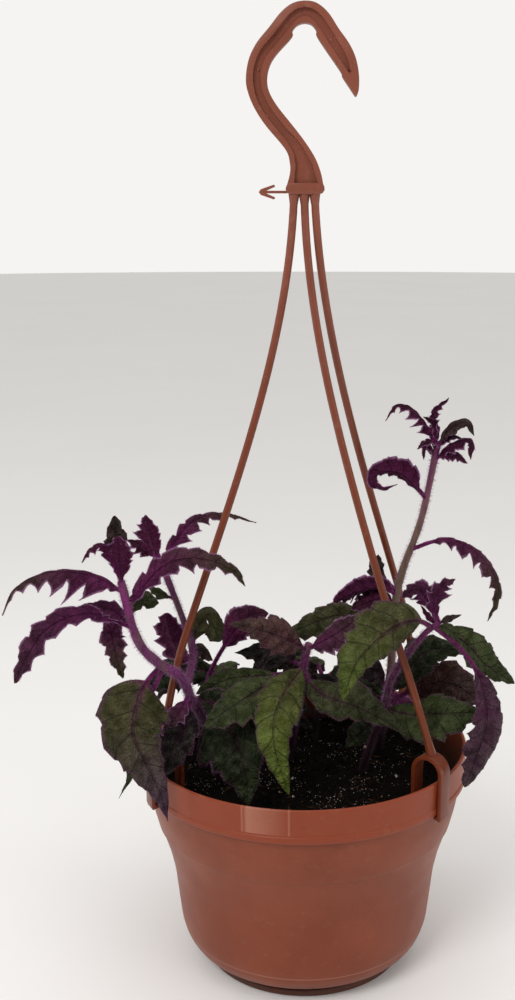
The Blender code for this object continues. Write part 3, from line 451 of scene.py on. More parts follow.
def dress(tree, shader, colour, relief, constants):
    """The colour and the relief linked to the shader, and its constant values set."""
    tree.links.new(colour.outputs[2], shader.inputs["Base Color"])
    if relief:
        tree.links.new(relief.outputs[0], shader.inputs["Normal"])
    for name, value in constants.items():
        shader.inputs[name].default_value = value


print("soft edges follow", SOFT["interpolation_type"])

# %% [markdown]
# A leaf's finish starts with its veins: a midrib, one side vein to every tooth, and a fine net between
# them. Painted textures could hold more, but a node tree stays sharp at any distance, and as it reads
# the place on the blade it fits every leaf.

# %% Veins of a leaf
VEIN_START = -0.55  # a side vein starts this part of a tooth lower on the midrib than it ends
VEIN_WANDER = 0.22
NET_MESH = 2.6


def leaf_veins(tree, spot, share):
    """A mask of the midrib and the side veins, kept to the blade."""
    lines = add(tree, "ShaderNodeAttribute", attribute_name="vein_lines").outputs["Vector"]
    lines = add(tree, "ShaderNodeSeparateXYZ", {0: lines}).outputs
    reach = add(tree, "ShaderNodeMath", {0: lines[1]}, operation="ABSOLUTE")
    swept = add(tree, "ShaderNodeMath", {0: reach, 1: VEIN_START, 2: lines[0]}, operation="MULTIPLY_ADD")
    wander = add(tree, "ShaderNodeTexNoise", {"Vector": spot, "Scale": 1 / (7 * MM), "Detail": 1.0})
    wander = add(tree, "ShaderNodeMath", {0: wander, 1: VEIN_WANDER, 2: swept},
                 operation="MULTIPLY_ADD")
    turn = add(tree, "ShaderNodeMath", {0: wander}, operation="FRACT")
    side = fine_line(tree, turn, 0.5, 0.006, 0.05, **SOFT)
    middle = add(tree, "ShaderNodeMapRange", {"Value": reach, "From Min": 0.015, "From Max": 0.07,
                                              "To Min": 1.0, "To Max": 0.0}, **SOFT)
    veins = add(tree, "ShaderNodeMath", {0: side, 1: middle}, operation="MAXIMUM")
    blade = add(tree, "ShaderNodeMath", {0: share, 1: 0.0}, operation="GREATER_THAN")
    return add(tree, "ShaderNodeMath", {0: veins, 1: blade}, operation="MULTIPLY")


def leaf_net(tree, spot):
    """The distance to the fine net between the veins, bent so that no two meshes are alike."""
    bend = add(tree, "ShaderNodeTexNoise", {"Vector": spot, "Scale": 1 / (2.2 * MM), "Detail": 1.0})
    bent = add(tree, "ShaderNodeVectorMath", {0: bend.outputs["Color"], 1: (2.0 * MM,) * 3, 2: spot},
               operation="MULTIPLY_ADD")
    return add(tree, "ShaderNodeTexVoronoi", {"Vector": bent, "Scale": 1 / (NET_MESH * MM)},
               feature="DISTANCE_TO_EDGE")


print("meshes of the net:", NET_MESH, "mm")

# %% [markdown]
# Over the blade's own tone, in lighter and darker patches and lighter still on the crests of its puckers
# as a painted highlight, lie the veins, a little darker, a frost of pale hairs kept to the crests, partly
# a painted highlight, the purple underside, and last the margin. Each is a coat with its own mask, from
# the skin outwards, in the order of the real leaf's layers.

# %% Finish of the leaves
LEAF_RELIEF = 1.1


def velvet_leaf(name, vein, drawn, margin, inset, edged, under, frost, frosted, sheen_tint, sheen):
    """Soft living leaf under fine hairs: low gloss, a pale glow at grazing angles, sunken veins."""
    finish, tree, shader, spot = new_finish(name)
    tone = add(tree, "ShaderNodeAttribute", attribute_name="tone").outputs["Color"]
    place = add(tree, "ShaderNodeAttribute", attribute_name="place").outputs["Vector"]
    edge, upper, share = add(tree, "ShaderNodeSeparateXYZ", {0: place}).outputs
    veins, net = leaf_veins(tree, spot, share), leaf_net(tree, spot)
    threads = add(tree, "ShaderNodeMapRange", {"Value": net, "From Max": 0.16, "To Min": 1.0,
                                               "To Max": 0.0})
    pucker = add(tree, "ShaderNodeTexNoise", {"Vector": spot, "Scale": 1 / (4.5 * MM), "Detail": 2.0})
    crest = add(tree, "ShaderNodeMapRange", {"Value": pucker, "From Min": 0.36, "From Max": 0.66})
    # Painted highlight: the colour is made lighter on the crests of the puckers.
    crest_highlight = add(tree, "ShaderNodeMath", {0: crest, 1: 0.24, 2: 0.86}, operation="MULTIPLY_ADD")
    light = patches(tree, spot, 9, 3.0, 0.3, 0.7, 0.66, 1.34)
    light = add(tree, "ShaderNodeMath", {0: light, 1: crest_highlight}, operation="MULTIPLY")
    dust = patches(tree, spot, 0.45, 2.0, 0.42, 0.75, 0.0, frosted)
    below = add(tree, "ShaderNodeMath", {0: upper, 1: -0.7, 2: 0.7}, operation="MULTIPLY_ADD")
    rim = add(tree, "ShaderNodeMapRange", {"Value": edge, "From Min": inset, "From Max": 1.0,
                                           "To Max": edged}, **SOFT)
    # The margin comes last, as its pale hairs show on both faces
    colour = lightened(tree, tone, light)
    # The frost of pale hairs is kept to the crests of the puckers, so it is partly a painted highlight.
    for code, *masks in ((vein, threads, 0.09), (vein, veins, drawn), (frost, dust, crest),
                         (under, below), (margin, rim)):
        colour = coat(tree, colour, code, *masks)
    # Veins sunk by about a millimetre, puckered cushions between them, and a grain of hair bases
    cushion = add(tree, "ShaderNodeMapRange", {"Value": net, "From Max": 0.42}, **SOFT)
    pile = add(tree, "ShaderNodeTexNoise", {"Vector": spot, "Scale": 1 / (0.6 * MM), "Detail": 2.0})
    deep = add(tree, "ShaderNodeMath", {0: veins, 1: -1.0}, operation="MULTIPLY")
    for swell, much in ((cushion, 0.75), (pucker, 2.6), (pile, 0.8)):
        deep = add(tree, "ShaderNodeMath", {0: swell, 1: much, 2: deep}, operation="MULTIPLY_ADD")
    relief = add(tree, "ShaderNodeBump", {"Strength": 1.0, "Distance": LEAF_RELIEF * MM, "Height": deep})
    dress(tree, shader, colour, relief, {
        "Roughness": 0.5, "IOR": 1.42, "Specular IOR Level": 0.07, "Sheen Weight": sheen,
        "Sheen Roughness": 0.35, "Sheen Tint": paint(sheen_tint)})
    return finish


young_leaf = velvet_leaf(
    "young leaf under purple hairs", vein="#2A0C1E", drawn=0.18, margin="#A878A0", inset=0.78,
    edged=0.7, under="#481636", frost="#855878", frosted=0.15, sheen_tint="#B483A6", sheen=0.05)
older_leaf = velvet_leaf(
    "older leaf under pale hairs", vein="#1C1414", drawn=0.28, margin="#5E3852", inset=0.86,
    edged=0.6, under="#38222E", frost="#8E9480", frosted=0.26, sheen_tint="#A8A59A", sheen=0.04)
print("finishes:", young_leaf.name, "and", older_leaf.name)

# %% [markdown]
# Stems are round and juicy, magenta to grey-purple, with paler ribs along them. Their hairs stand out
# straight and catch the light. What counts in a hair finish is that it is lighter than the stem or
# leaf behind it, and darker than the pale room, as the photograph shows at every edge.

# %% Finishes of stems and hairs
FULL_SHADE_BELOW, NO_SHADE_ABOVE = 98.0, 134.0  # heights between which the painted shade on a stem fades out


def painted_foot_shade(tree, spot):
    """How much painted shade a stem or hair gets: nearly full near the soil, and none some 40 mm above
    it.
    """
    height = add(tree, "ShaderNodeSeparateXYZ", {0: spot}).outputs[2]
    return add(tree, "ShaderNodeMapRange", {"Value": height, "From Min": FULL_SHADE_BELOW * MM,
                                            "From Max": NO_SHADE_ABOVE * MM, "To Min": 0.92, "To Max": 0.0})


def hairy_stem():
    """Fleshy stem: a little glossier than the leaf, ribbed along its length."""
    finish, tree, shader, spot = new_finish("fleshy purple stem")
    tone = add(tree, "ShaderNodeAttribute", attribute_name="tone").outputs["Color"]
    # Ribs run upwards, so the pattern is stretched six times in height
    tall = add(tree, "ShaderNodeMapping", {"Vector": spot, "Scale": (1.0, 1.0, 0.16)})
    ribs = add(tree, "ShaderNodeTexNoise", {"Vector": tall, "Scale": 1 / (1.6 * MM), "Detail": 2.0})
    light = add(tree, "ShaderNodeMapRange", {"Value": ribs, "From Min": 0.3, "From Max": 0.7,
                                             "To Min": 0.6, "To Max": 1.4})
    colour = lightened(tree, tone, light)
    colour = coat(tree, colour, "#514A2A", patches(tree, tall, 4, 1.0, 0.52, 0.66, 0.0, 0.55))
    # Painted shade: the stem darkens towards the soil, where the leaves shade it.
    colour = coat(tree, colour, "#170E0D", painted_foot_shade(tree, spot))
    relief = add(tree, "ShaderNodeBump", {"Strength": 0.6, "Distance": 0.2 * MM, "Height": ribs})
    dress(tree, shader, colour, relief, {
        "Roughness": 0.5, "IOR": 1.42, "Specular IOR Level": 0.25, "Sheen Weight": 0.10,
        "Sheen Roughness": 0.4, "Sheen Tint": paint("#B98AB0")})
    return finish


def hair_finish(name, code, tip):
    """Thin clear hair: pale, soft and without gloss; it varies a little from hair to hair."""
    finish, tree, shader, spot = new_finish(name)
    vary = add(tree, "ShaderNodeTexNoise", {"Vector": spot, "Scale": 1 / (3 * MM), "Detail": 2.0})
    # Hairs near the soil get the same painted shade as their stem.
    colour = coat(tree, coat(tree, paint(code), tip, vary), "#1E1413", painted_foot_shade(tree, spot))
    dress(tree, shader, colour, None, {"Roughness": 0.7, "Specular IOR Level": 0.06})
    return finish


stem_finish = hairy_stem()
stem_hair = hair_finish("violet stem hair", "#6A3464", "#B288AA")
young_hair = hair_finish("purple hair of young leaves", "#7A4070", "#B880AE")
older_hair = hair_finish("pale hair of older leaves", "#4A3E42", "#7E786E")
print("finishes:", stem_finish.name, stem_hair.name, young_hair.name, older_hair.name)

# %% [markdown]
# The leaves follow one rule and a table. A row gives a leaf's midrib as a few points, the way its
# upper face looks, its half widths, and how many teeth cut how deep. The rows are those of the solid
# model, so the fine leaf lies where the solid one is. A sculpted leaf would look as good, but over
# seventy of them would take days, and a rule gives each its own veins and teeth at once.

# %% The stems
STEMS = {
    "left": {"route": [(-45, 25, 92), (-49, 12, 113), (-53, -18, 137), (-57, -37, 158),
                       (-66, -44, 167), (-75, -48, 180), (-81, -51, 208)], "radii": (2.7, 2.1)},
    "branch": {"route": [(-55, -31, 151), (-53, -19, 163), (-58, -12, 178), (-68, -16, 209)],
               "radii": (1.9, 1.5)},
    "centre": {"route": [(-9, 17, 92), (-4, 10, 120), (-1, -2, 147), (2, -6, 163)],
               "radii": (2.2, 2.0)},
    "tall": {"route": [(38, 28, 92), (43, 16, 136), (46, 14, 184), (57, 14, 220), (64, 12, 258)],
             "radii": (2.4, 1.8)},
    "right": {"route": [(29, 5, 92), (38, -10, 130), (42, -24, 154), (53, -40, 178), (61, -44, 187)],
              "radii": (1.8, 1.5)},
    "back_left": {"route": [(-24, 36, 92), (-27, 42, 106), (-35, 46, 124)], "radii": (1.9, 1.5)},
    "back_right": {"route": [(6, 46, 92), (7, 50, 105), (10, 57, 122)], "radii": (1.9, 1.5)},
}
print("stems:", len(STEMS))

# %% Leaves of the left shoot


def leaf(tone, path, faces, half, teeth=4, droop=10, bare=0.1, widest=0.42, depth=0.3, taper=0.8):
    """One row: sizes in mm, half widths right and left, bare for the petiole's share of the length."""
    return {"tone": tone, "path": path, "faces": faces, "half": half, "teeth": teeth, "droop": droop,
            "bare": bare, "widest": widest, "depth": depth, "taper": taper}


LEFT_LEAVES = [
    # the crown over the bend, with young leaves above it
    leaf("turning", [(-81, -50, 203), (-93, -53, 211), (-111, -56, 213.5), (-127, -55, 206),
          (-134, -53, 193)],
         (0, -0.45, 0.9), (13, 14), teeth=5, droop=46, bare=0.04, widest=0.28, depth=0.5, taper=1.5),
    leaf("plum", [(-79, -47, 185), (-88, -52, 192), (-99, -58, 195), (-113, -61, 189), (-122, -60, 176),
          (-129, -58, 163)],
         (-0.1, -0.8, 0.55), (7.5, 6), droop=8, bare=0.05, widest=0.7, depth=0.4, taper=0.6),
    leaf("plum", [(-79, -47, 187), (-86, -50, 195), (-98, -53, 198)],
         (0, -0.8, 0.6), (4.5, 5), teeth=2, droop=8, widest=0.4),
    leaf("maroon", [(-81, -51, 207), (-81, -52, 216), (-82, -49, 228)],
         (0, 0.95, 0.3), (8, 7), droop=-22, widest=0.55, taper=0.6),
    leaf("dusk", [(-82, -49, 208), (-83, -44, 219), (-84, -43, 236)],
         (0, -0.95, 0.3), (6, 6), teeth=3, droop=-12, bare=0.15, widest=0.5, taper=0.6),
    leaf("maroon", [(-82, -50, 211), (-88, -50, 223), (-94, -52, 223), (-98, -52, 217)],
         (-0.2, -0.5, 0.85), (4, 4.5), teeth=3, droop=35, bare=0.25, widest=0.4, depth=0.5),
    # the leaf that reaches in front of the strand, and the small ones beside it
    leaf("turning", [(-79, -49, 196), (-71, -50, 206), (-60, -46, 215), (-45, -40, 215),
          (-32, -35, 208), (-27, -32, 200)],
         (0.05, -0.72, 0.68), (7, 10), teeth=5, droop=20, bare=0.02, widest=0.5, depth=0.5),
    leaf("moss", [(-79, -46, 192), (-74, -42, 196), (-66, -38, 194)],
         (0.1, -0.8, 0.6), (5, 6), teeth=2, widest=0.6),
    leaf("turning", [(-79, -45, 190), (-86, -42, 184), (-87, -41, 176), (-83, -42, 159)],
         (-0.05, -0.98, 0.2), (7, 7), droop=12, bare=0.12, depth=0.35, taper=0.7),
    # the large leaf over the rim, the one below it, and those on the inner side
    leaf("bronze", [(-67, -43, 165), (-73, -49, 157), (-77, -57, 140), (-72, -61, 128),
          (-65, -62, 112), (-62, -60, 97)],
         (0.1, -0.92, 0.38), (19, 17), teeth=6, bare=0.12, widest=0.16, depth=0.2, taper=1.1),
    leaf("moss", [(-67, -40, 163), (-78, -46, 134), (-79, -47, 116), (-86, -47, 102)],
         (-0.1, -0.98, 0.1), (8, 4), teeth=3, droop=8, bare=0.42, widest=0.2, depth=0.5, taper=1.3),
    leaf("wine_olive", [(-55, -28, 144), (-59, -37, 139), (-65, -40, 134)],
         (0, -0.85, 0.5), (6, 5), teeth=2, droop=5, bare=0.2, widest=0.5),
    # The next two leaves take the nearly black tones: painted shade inside the rim.
    leaf("deep_shade", [(-54, -24, 141), (-56, -39, 134), (-61, -46, 126), (-64, -49, 115)],
         (-0.1, -0.95, 0.3), (10, 10), teeth=3, bare=0.15, widest=0.55, taper=0.6),
    leaf("shade", [(-53, -21, 138), (-44, -20, 138), (-33, -33, 127), (-27, -46, 115), (-26, -52, 101)],
         (-0.1, -0.85, 0.5), (22, 15), teeth=5, droop=8, bare=0.03, widest=0.4, depth=0.22),
    leaf("maroon", [(-51, -3, 125), (-47, 11, 142), (-37, 12, 160), (-27, 16, 170), (-18, 20, 170)],
         (0.1, -0.6, 0.8), (9, 12), droop=15, bare=0.55, widest=0.45, depth=0.25, taper=0.7),
]
print("left stem:", len(LEFT_LEAVES), "leaves")

# %% Leaves of the left branch
BRANCH_LEAVES = [
    leaf("maroon", [(-67, -15, 209), (-71, -14, 217), (-74, -13, 229)],
         (0, 0.95, 0.3), (9.5, 5), teeth=3, droop=-18, bare=0.08, widest=0.5),
    leaf("maroon", [(-68, -16, 208), (-76, -19, 216), (-82, -20, 219)],
         (0, -0.5, 0.85), (4, 6), teeth=2, droop=20, bare=0.2, widest=0.5),
    leaf("turning", [(-66, -15, 207), (-61, -9, 215), (-52, -4, 224), (-38, 0, 226), (-23, 4, 221)],
         (0, -0.65, 0.75), (7, 6), teeth=5, droop=25, bare=0.05, widest=0.32, depth=0.6, taper=1.1),
    leaf("moss", [(-61, -12, 188), (-68, -14, 191), (-74, -15, 195)],
         (0, -0.6, 0.8), (3, 3.5), teeth=2, bare=0.2),
    leaf("maroon", [(-54, -22, 159), (-60, -12, 162), (-64, -6, 168), (-67, -4, 178)],
         (0, 0.95, 0.3), (13, 9), droop=-12, bare=0.08, widest=0.5, taper=0.6),
    leaf("olive", [(-53, -17, 163), (-52, -13, 172), (-46, -12, 178), (-40, -14, 167)],
         (0.1, -0.8, 0.6), (9, 6.5), teeth=3, droop=12, bare=0.15, widest=0.6, taper=0.6),
    leaf("dusk", [(-54, -23, 157), (-51, -14, 163), (-44, -10, 156)],
         (0.2, -0.8, 0.6), (5.5, 4), teeth=3, bare=0.2, widest=0.5),
]
print("branch:", len(BRANCH_LEAVES), "leaves")

# %% Leaves of the centre shoot
CENTRE_LEAVES = [
    leaf("umber", [(0, -6, 160), (-8, -12, 167), (-26, -19, 176), (-36, -20, 178)],
         (-0.05, -0.75, 0.65), (12, 10), teeth=5, droop=12, bare=0.08, widest=0.35, taper=1.0),
    leaf("deep_shade", [(-1, 2, 151), (-15, 11, 154), (-35, 15, 151)],
         (0, -0.7, 0.7), (8, 14), droop=12, bare=0.15, widest=0.4, taper=1.1),
    leaf("bright", [(-1, -4, 150), (-9, -25, 146), (-14, -42, 138), (-13, -49, 125), (-7, -50, 105)],
         (0.05, -0.85, 0.5), (12, 12.5), teeth=6, droop=12, bare=0.03, widest=0.38, depth=0.2),
    leaf("moss", [(-2, -2, 149), (-19, -22, 147), (-37, -41, 142), (-46, -45, 137)],
         (-0.1, -0.7, 0.7), (11, 14), teeth=5, droop=8, bare=0.22, widest=0.5, depth=0.25, taper=0.7),
    leaf("moss", [(-2, 0, 148), (-24, 3, 143), (-37, -4, 144), (-52, -15, 141)],
         (-0.1, -0.62, 0.78), (8, 8.5), bare=0.25, widest=0.6, depth=0.25),
    leaf("wine_olive", [(2, -6, 160), (15, -12, 170), (30, -15, 182)],
         (0.05, -0.62, 0.78), (11, 9.5), droop=12, bare=0.08),
    leaf("fern", [(0, -3, 147), (8, -18, 142), (26, -34, 141), (39, -44, 138), (46, -47, 134)],
         (0, -0.72, 0.7), (9.5, 15), teeth=5, droop=6, widest=0.4, depth=0.25, taper=1.0),
    leaf("deep_shade", [(1, 0, 148), (6, 3, 141), (14, 6, 138), (19, 8, 133)],
         (0, -0.75, 0.65), (6.5, 5), teeth=3, droop=6, bare=0.2, widest=0.5),
]
print("centre shoot:", len(CENTRE_LEAVES), "leaves")

# %% Leaves of the tall shoot
TALL_LEAVES = [
    # the rosette at the top
    leaf("maroon", [(63, 13, 256), (59, 10, 266), (51, 4, 276), (43, 2, 278), (38, 1, 271)],
         (0, -0.5, 0.85), (7, 7.5), droop=40, widest=0.4, depth=0.6, taper=1.1),
    leaf("maroon", [(64, 14, 256), (62, 16, 271), (69, 14, 280)],
         (-0.7, -0.6, 0.3), (5, 3), teeth=3, droop=0, bare=0.15, depth=0.5),
    leaf("dusk", [(64, 12, 257), (68, 7, 265), (76, 3, 270), (80, 1, 264)],
         (0, -0.55, 0.8), (4.5, 5), teeth=3, droop=15),
    leaf("maroon", [(63, 12, 250), (69, 8, 257), (78, 3, 261), (79, 3, 252)],
         (0, -0.55, 0.8), (5.5, 5), teeth=3, droop=25, bare=0.08, depth=0.45),
    leaf("maroon", [(64, 11, 257), (70, 8, 262), (75, 5, 262)],
         (0, -0.5, 0.85), (3, 3), teeth=2, droop=20),
    leaf("maroon", [(63, 13, 254), (58, 10, 259), (54, 9, 256)],
         (0, -0.5, 0.85), (3.5, 3.5), teeth=2, droop=30),
    leaf("maroon", [(63, 12, 253), (58, 8, 257), (57, 8, 251)],
         (0, -0.5, 0.85), (2.5, 2), teeth=1, droop=15),
    leaf("maroon", [(63, 12, 257), (62, 13, 267), (57, 13, 271)],
         (0.5, -0.7, 0.3), (3.5, 2.5), teeth=2, droop=5),
    leaf("maroon", [(64, 12, 252), (71, 6, 254), (77, 0, 251)],
         (0, -0.6, 0.8), (4.5, 4), teeth=3, droop=25),
    leaf("maroon", [(63, 11, 256), (60, 4, 261), (55, 1, 259)],
         (0, -0.6, 0.8), (3.5, 3.5), teeth=2, droop=20),
    # the leaves along the stem
    leaf("maroon", [(59, 14, 230), (54, 9, 237), (46, 6, 245), (36, 4, 246), (33, 1, 242),
          (37, -1, 239), (44, -1, 241)],
         (0.1, 0.85, 0.45), (5.5, 9), teeth=5, droop=-14, bare=0.16, widest=0.35, taper=1.1),
    leaf("turning", [(53, 14, 205), (67, 7, 212), (79, -3, 210), (88, -8, 202), (92, -12, 190),
          (87, -14, 177)],
         (0.15, -0.6, 0.75), (7, 7), teeth=6, droop=38, bare=0.14, widest=0.45, depth=0.55),
    leaf("maroon", [(46, 14, 181), (38, 9, 187), (28, 5, 187), (14, 2, 182)],
         (0, 0.8, 0.55), (13, 9), droop=-15, bare=0.12, widest=0.5, taper=0.6),
    leaf("maroon", [(46, 14, 175), (38, 9, 181), (23, 5, 177)],
         (0, -0.7, 0.7), (9, 8), teeth=3, widest=0.5),
    leaf("dusk", [(46, 14, 183), (37, 9, 194), (36, 7, 204)],
         (0.1, -0.8, 0.55), (3.5, 6), teeth=3, bare=0.3, widest=0.6),
    leaf("olive", [(44, 12, 155), (38, 12, 163), (18, 13, 171), (-8, 6, 164)],
         (0, -0.75, 0.65), (9, 12), teeth=5, droop=12, bare=0.2, widest=0.5, taper=0.6),
    leaf("deep_shade", [(43, 17, 130), (36, 12, 141), (25, 8, 151)],
         (0, -0.8, 0.6), (7, 7), teeth=3, bare=0.2, widest=0.5),
    leaf("plum", [(43, 17, 131), (48, 6, 128), (53, -4, 124)],
         (0, -0.8, 0.6), (7, 7), teeth=3, bare=0.2, widest=0.5),
    leaf("shade", [(41, 21, 117), (33, 13, 113), (21, 4, 105)],
         (0, -0.6, 0.8), (8, 8), teeth=3, bare=0.2, widest=0.5),
]
print("tall shoot:", len(TALL_LEAVES), "leaves")

# %% Leaves of the right shoot
RIGHT_LEAVES = [
    # the long leaf that falls in front of the strand
    leaf("fresh", [(58, -44, 184), (50, -52, 190), (39, -57, 188), (24, -61, 175), (17, -58, 155)],
         (0.05, -0.93, 0.36), (16, 9.5), teeth=6, droop=8, bare=0.16, widest=0.32, depth=0.25),
    # the crown
    leaf("plum", [(59, -43, 187), (57, -42, 194), (51, -41, 201), (44, -42, 198)],
         (-0.1, -0.75, 0.6), (7, 6), teeth=3, droop=15, bare=0.3, widest=0.4, taper=0.7),
    leaf("plum", [(59, -43, 188), (58, -44, 196), (62, -46, 205), (67, -47, 208)],
         (0.1, -0.8, 0.5), (6.5, 5), teeth=3, droop=15, widest=0.5, depth=0.5),
    leaf("maroon", [(58, -45, 186), (55, -47, 191), (52, -48, 196)],
         (0, -0.9, 0.4), (2, 1.5), teeth=1),
    leaf("dusk", [(60, -45, 186), (65, -48, 190), (70, -49, 192)],
         (0, -0.85, 0.5), (2, 2), teeth=2),
    leaf("moss", [(60, -45, 184), (65, -49, 185), (69, -51, 180)],
         (0.1, -0.85, 0.5), (3, 3), teeth=2),
    # the two that arch and hang to the right
    leaf("moss", [(61, -43, 182), (72, -46, 178), (82, -46, 167), (96, -43, 157)],
         (0.25, -0.8, 0.5), (7, 11), teeth=5, droop=8, bare=0.08, widest=0.45, depth=0.35, taper=0.7),
    leaf("hanging", [(60, -46, 182), (70, -53, 177), (78, -56, 165), (82, -55, 146), (79, -52, 128),
          (74, -48, 108)],
         (0.3, -0.92, 0.15), (8, 11), teeth=6, droop=12, bare=0.3, widest=0.6, depth=0.35, taper=0.6),
    # the three low ones behind them
    leaf("shade", [(40, -12, 135), (47, -13, 149), (60, -15, 163), (75, -17, 163)],
         (0.1, -0.8, 0.6), (10, 10), teeth=5, droop=8, bare=0.15, widest=0.5, taper=0.7),
    leaf("bark", [(41, -12, 134), (55, -10, 142), (70, -15, 146), (83, -26, 141)],
         (0.15, -0.85, 0.45), (11, 12), teeth=5, droop=8, bare=0.22, widest=0.5, depth=0.25, taper=0.6),
    leaf("moss", [(40, -14, 131), (50, -22, 133), (63, -31, 137), (82, -38, 141)],
         (0.1, -0.72, 0.68), (15.5, 12.5), teeth=5, droop=8, bare=0.05, widest=0.5, depth=0.25,
         taper=0.7),
]
print("right shoot:", len(RIGHT_LEAVES), "leaves")

# %% [markdown]
# Two short stems fill the back of the pot, which the photograph only hints at between the front
# leaves. Their own leaves are plain, so that they claim no more than is known.

# %% Leaves of the back shoots
# Most back leaves take the two nearly black tones: painted shade, as the back of the pot lies in deep
# shade.
BACK_LEFT_LEAVES = [
    leaf("moss", [(-35, 46, 122), (-42, 59, 125), (-49, 76, 120), (-57, 90, 96)],
         (-0.3, 0.6, 0.75), (13, 13), teeth=5, bare=0.15),
    leaf("shade", [(-34, 46, 122), (-50, 45, 129), (-66, 41, 132), (-84, 38, 122)],
         (-0.1, -0.85, 0.5), (10, 12), teeth=5, bare=0.25, widest=0.5),
    leaf("moss", [(-31, 45, 118), (-48, 57, 124), (-68, 62, 121), (-84, 66, 101)],
         (-0.5, 0.4, 0.75), (12, 12), teeth=5, bare=0.15),
    leaf("shade", [(-33, 46, 121), (-22, 42, 134), (-8, 38, 144), (2, 36, 143)],
         (0, -0.7, 0.7), (9, 9), bare=0.2, widest=0.5),
    leaf("deep_shade", [(-27, 42, 106), (-19, 54, 113), (-11, 64, 113)],
         (0, -0.5, 0.85), (8, 8), teeth=3, bare=0.15),
    leaf("shade", [(-30, 44, 113), (-42, 39, 114), (-55, 34, 107), (-63, 29, 100)],
         (0, -0.85, 0.5), (10, 11), bare=0.12, widest=0.5),
    leaf("deep_shade", [(-29, 43, 110), (-20, 36, 116), (-8, 33, 117), (3, 33, 112)],
         (0, -0.8, 0.6), (10, 10), bare=0.15, widest=0.5),
    leaf("deep_shade", [(-26, 40, 101), (-15, 44, 105), (-4, 45, 103), (5, 42, 98)],
         (0, -0.8, 0.6), (7, 5), teeth=3, widest=0.5),
]

BACK_RIGHT_LEAVES = [
    leaf("moss", [(10, 57, 122), (6, 68, 127), (0, 82, 121), (-4, 96, 94)],
         (0, 0.65, 0.75), (13, 13), teeth=5, bare=0.12),
    leaf("moss", [(9, 56, 119), (20, 66, 125), (31, 77, 121), (38, 88, 97)],
         (0.3, 0.6, 0.75), (11, 11), teeth=5, bare=0.15),
    leaf("shade", [(8, 53, 112), (-2, 47, 123), (-14, 47, 125)],
         (0, -0.6, 0.8), (7, 8), teeth=3, bare=0.15),
    leaf("deep_shade", [(7, 50, 106), (16, 43, 112), (27, 38, 110)],
         (0.2, -0.5, 0.9), (8, 8), teeth=3, bare=0.15),
    leaf("shade", [(9, 55, 117), (21, 52, 124), (34, 50, 123), (45, 47, 115)],
         (0.1, -0.8, 0.6), (10, 11), widest=0.5),
    leaf("deep_shade", [(8, 52, 110), (22, 54, 112), (38, 50, 108), (48, 44, 103)],
         (0.1, -0.8, 0.6), (9, 9), teeth=3, widest=0.5),
]
print("back shoots:", len(BACK_LEFT_LEAVES + BACK_RIGHT_LEAVES), "leaves")

# %% Stems and leaves of each shoot
SHOOTS = {
    "shoot_left": [("left", LEFT_LEAVES), ("branch", BRANCH_LEAVES)],
    "shoot_centre": [("centre", CENTRE_LEAVES)],
    "shoot_tall": [("tall", TALL_LEAVES)],
    "shoot_right": [("right", RIGHT_LEAVES)],
    "shoot_back_left": [("back_left", BACK_LEFT_LEAVES)],
    "shoot_back_right": [("back_right", BACK_RIGHT_LEAVES)],
}
print("leaves:", sum(len(rows) for stems in SHOOTS.values() for stem, rows in stems))

# %% [markdown]
# The widths come first. A blade widens quickly to its widest place and narrows to the tip, and the
# teeth are cut out of that smooth outline: pointed at the tooth, round in the bay between two teeth,
# as a real leaf's are. Where the midrib bends tightly, the blade is held back so that it doesn't fold
# through itself.

# %% Widths of a leaf along its midrib
VEIN_SWEEP = 0.22  # the blade leans to its tip by this share of the way out from the midrib
TOOTH_SHARPNESS = 1.45
LEAST_HALF = 0.5
LEAST_STEP, PULL_IN, PULLS = 0.2, 0.8, 12
ROUTE_SAMPLES = 201


def blade_share(design, rows):
    """How far along the blade each row is, from 0 at its foot to 1 at its tip."""
    return np.clip((rows - design["bare"]) / (1.0 - design["bare"]), 0.0, 1.0)


def smooth_width(design, rows, side):
    """Half width in mm of the blade before its teeth are cut."""
    share = blade_share(design, rows)
    rise = np.sin(np.pi / 2 * np.clip(share / design["widest"], 0.0, 1.0))**0.6
    fall = np.clip((1.0 - share) / (1.0 - design["widest"]), 0.0, 1.0)**design["taper"]
    return design["half"][side] * np.minimum(rise, fall)


def tooth_phase(design, rows, side):
    """Teeth counted along the blade; those of the two halves alternate."""
    return blade_share(design, rows) * design["teeth"] + 0.5 * side


def teeth(design, rows, side, sharpness):
    """The share of the width that the teeth leave, and from 0 in a bay to 1 at a tooth's point."""
    phase = tooth_phase(design, rows, side)
    number = np.floor(phase)
    point = 1.0 - 2.0 * np.abs(phase - number - 0.5)
    cut = design["depth"] * (1.0 + 0.4 * np.sin(2.7 * number + 1.9 * side))
    return 1.0 - cut * (1.0 - point**sharpness), point


def held_back(design, spots, along, reach, rows, side):
    """The share of the width that a bend leaves, found on a few rows as in the solid model."""
    width = np.maximum(smooth_width(design, rows, side) * teeth(design, rows, side, 1.0)[0], LEAST_HALF)
    kept = width.copy()
    spacing = np.linalg.norm(np.diff(spots, axis=0), axis=1)
    for _ in range(PULLS):
        edge = spots + reach * kept[:, None]
        short = np.einsum("ij,ij->i", np.diff(edge, axis=0), along[:-1]) < LEAST_STEP * spacing
        if not short.any():
            break
        kept[:-1][short] *= PULL_IN
        kept[1:][short] *= PULL_IN
    return kept / width


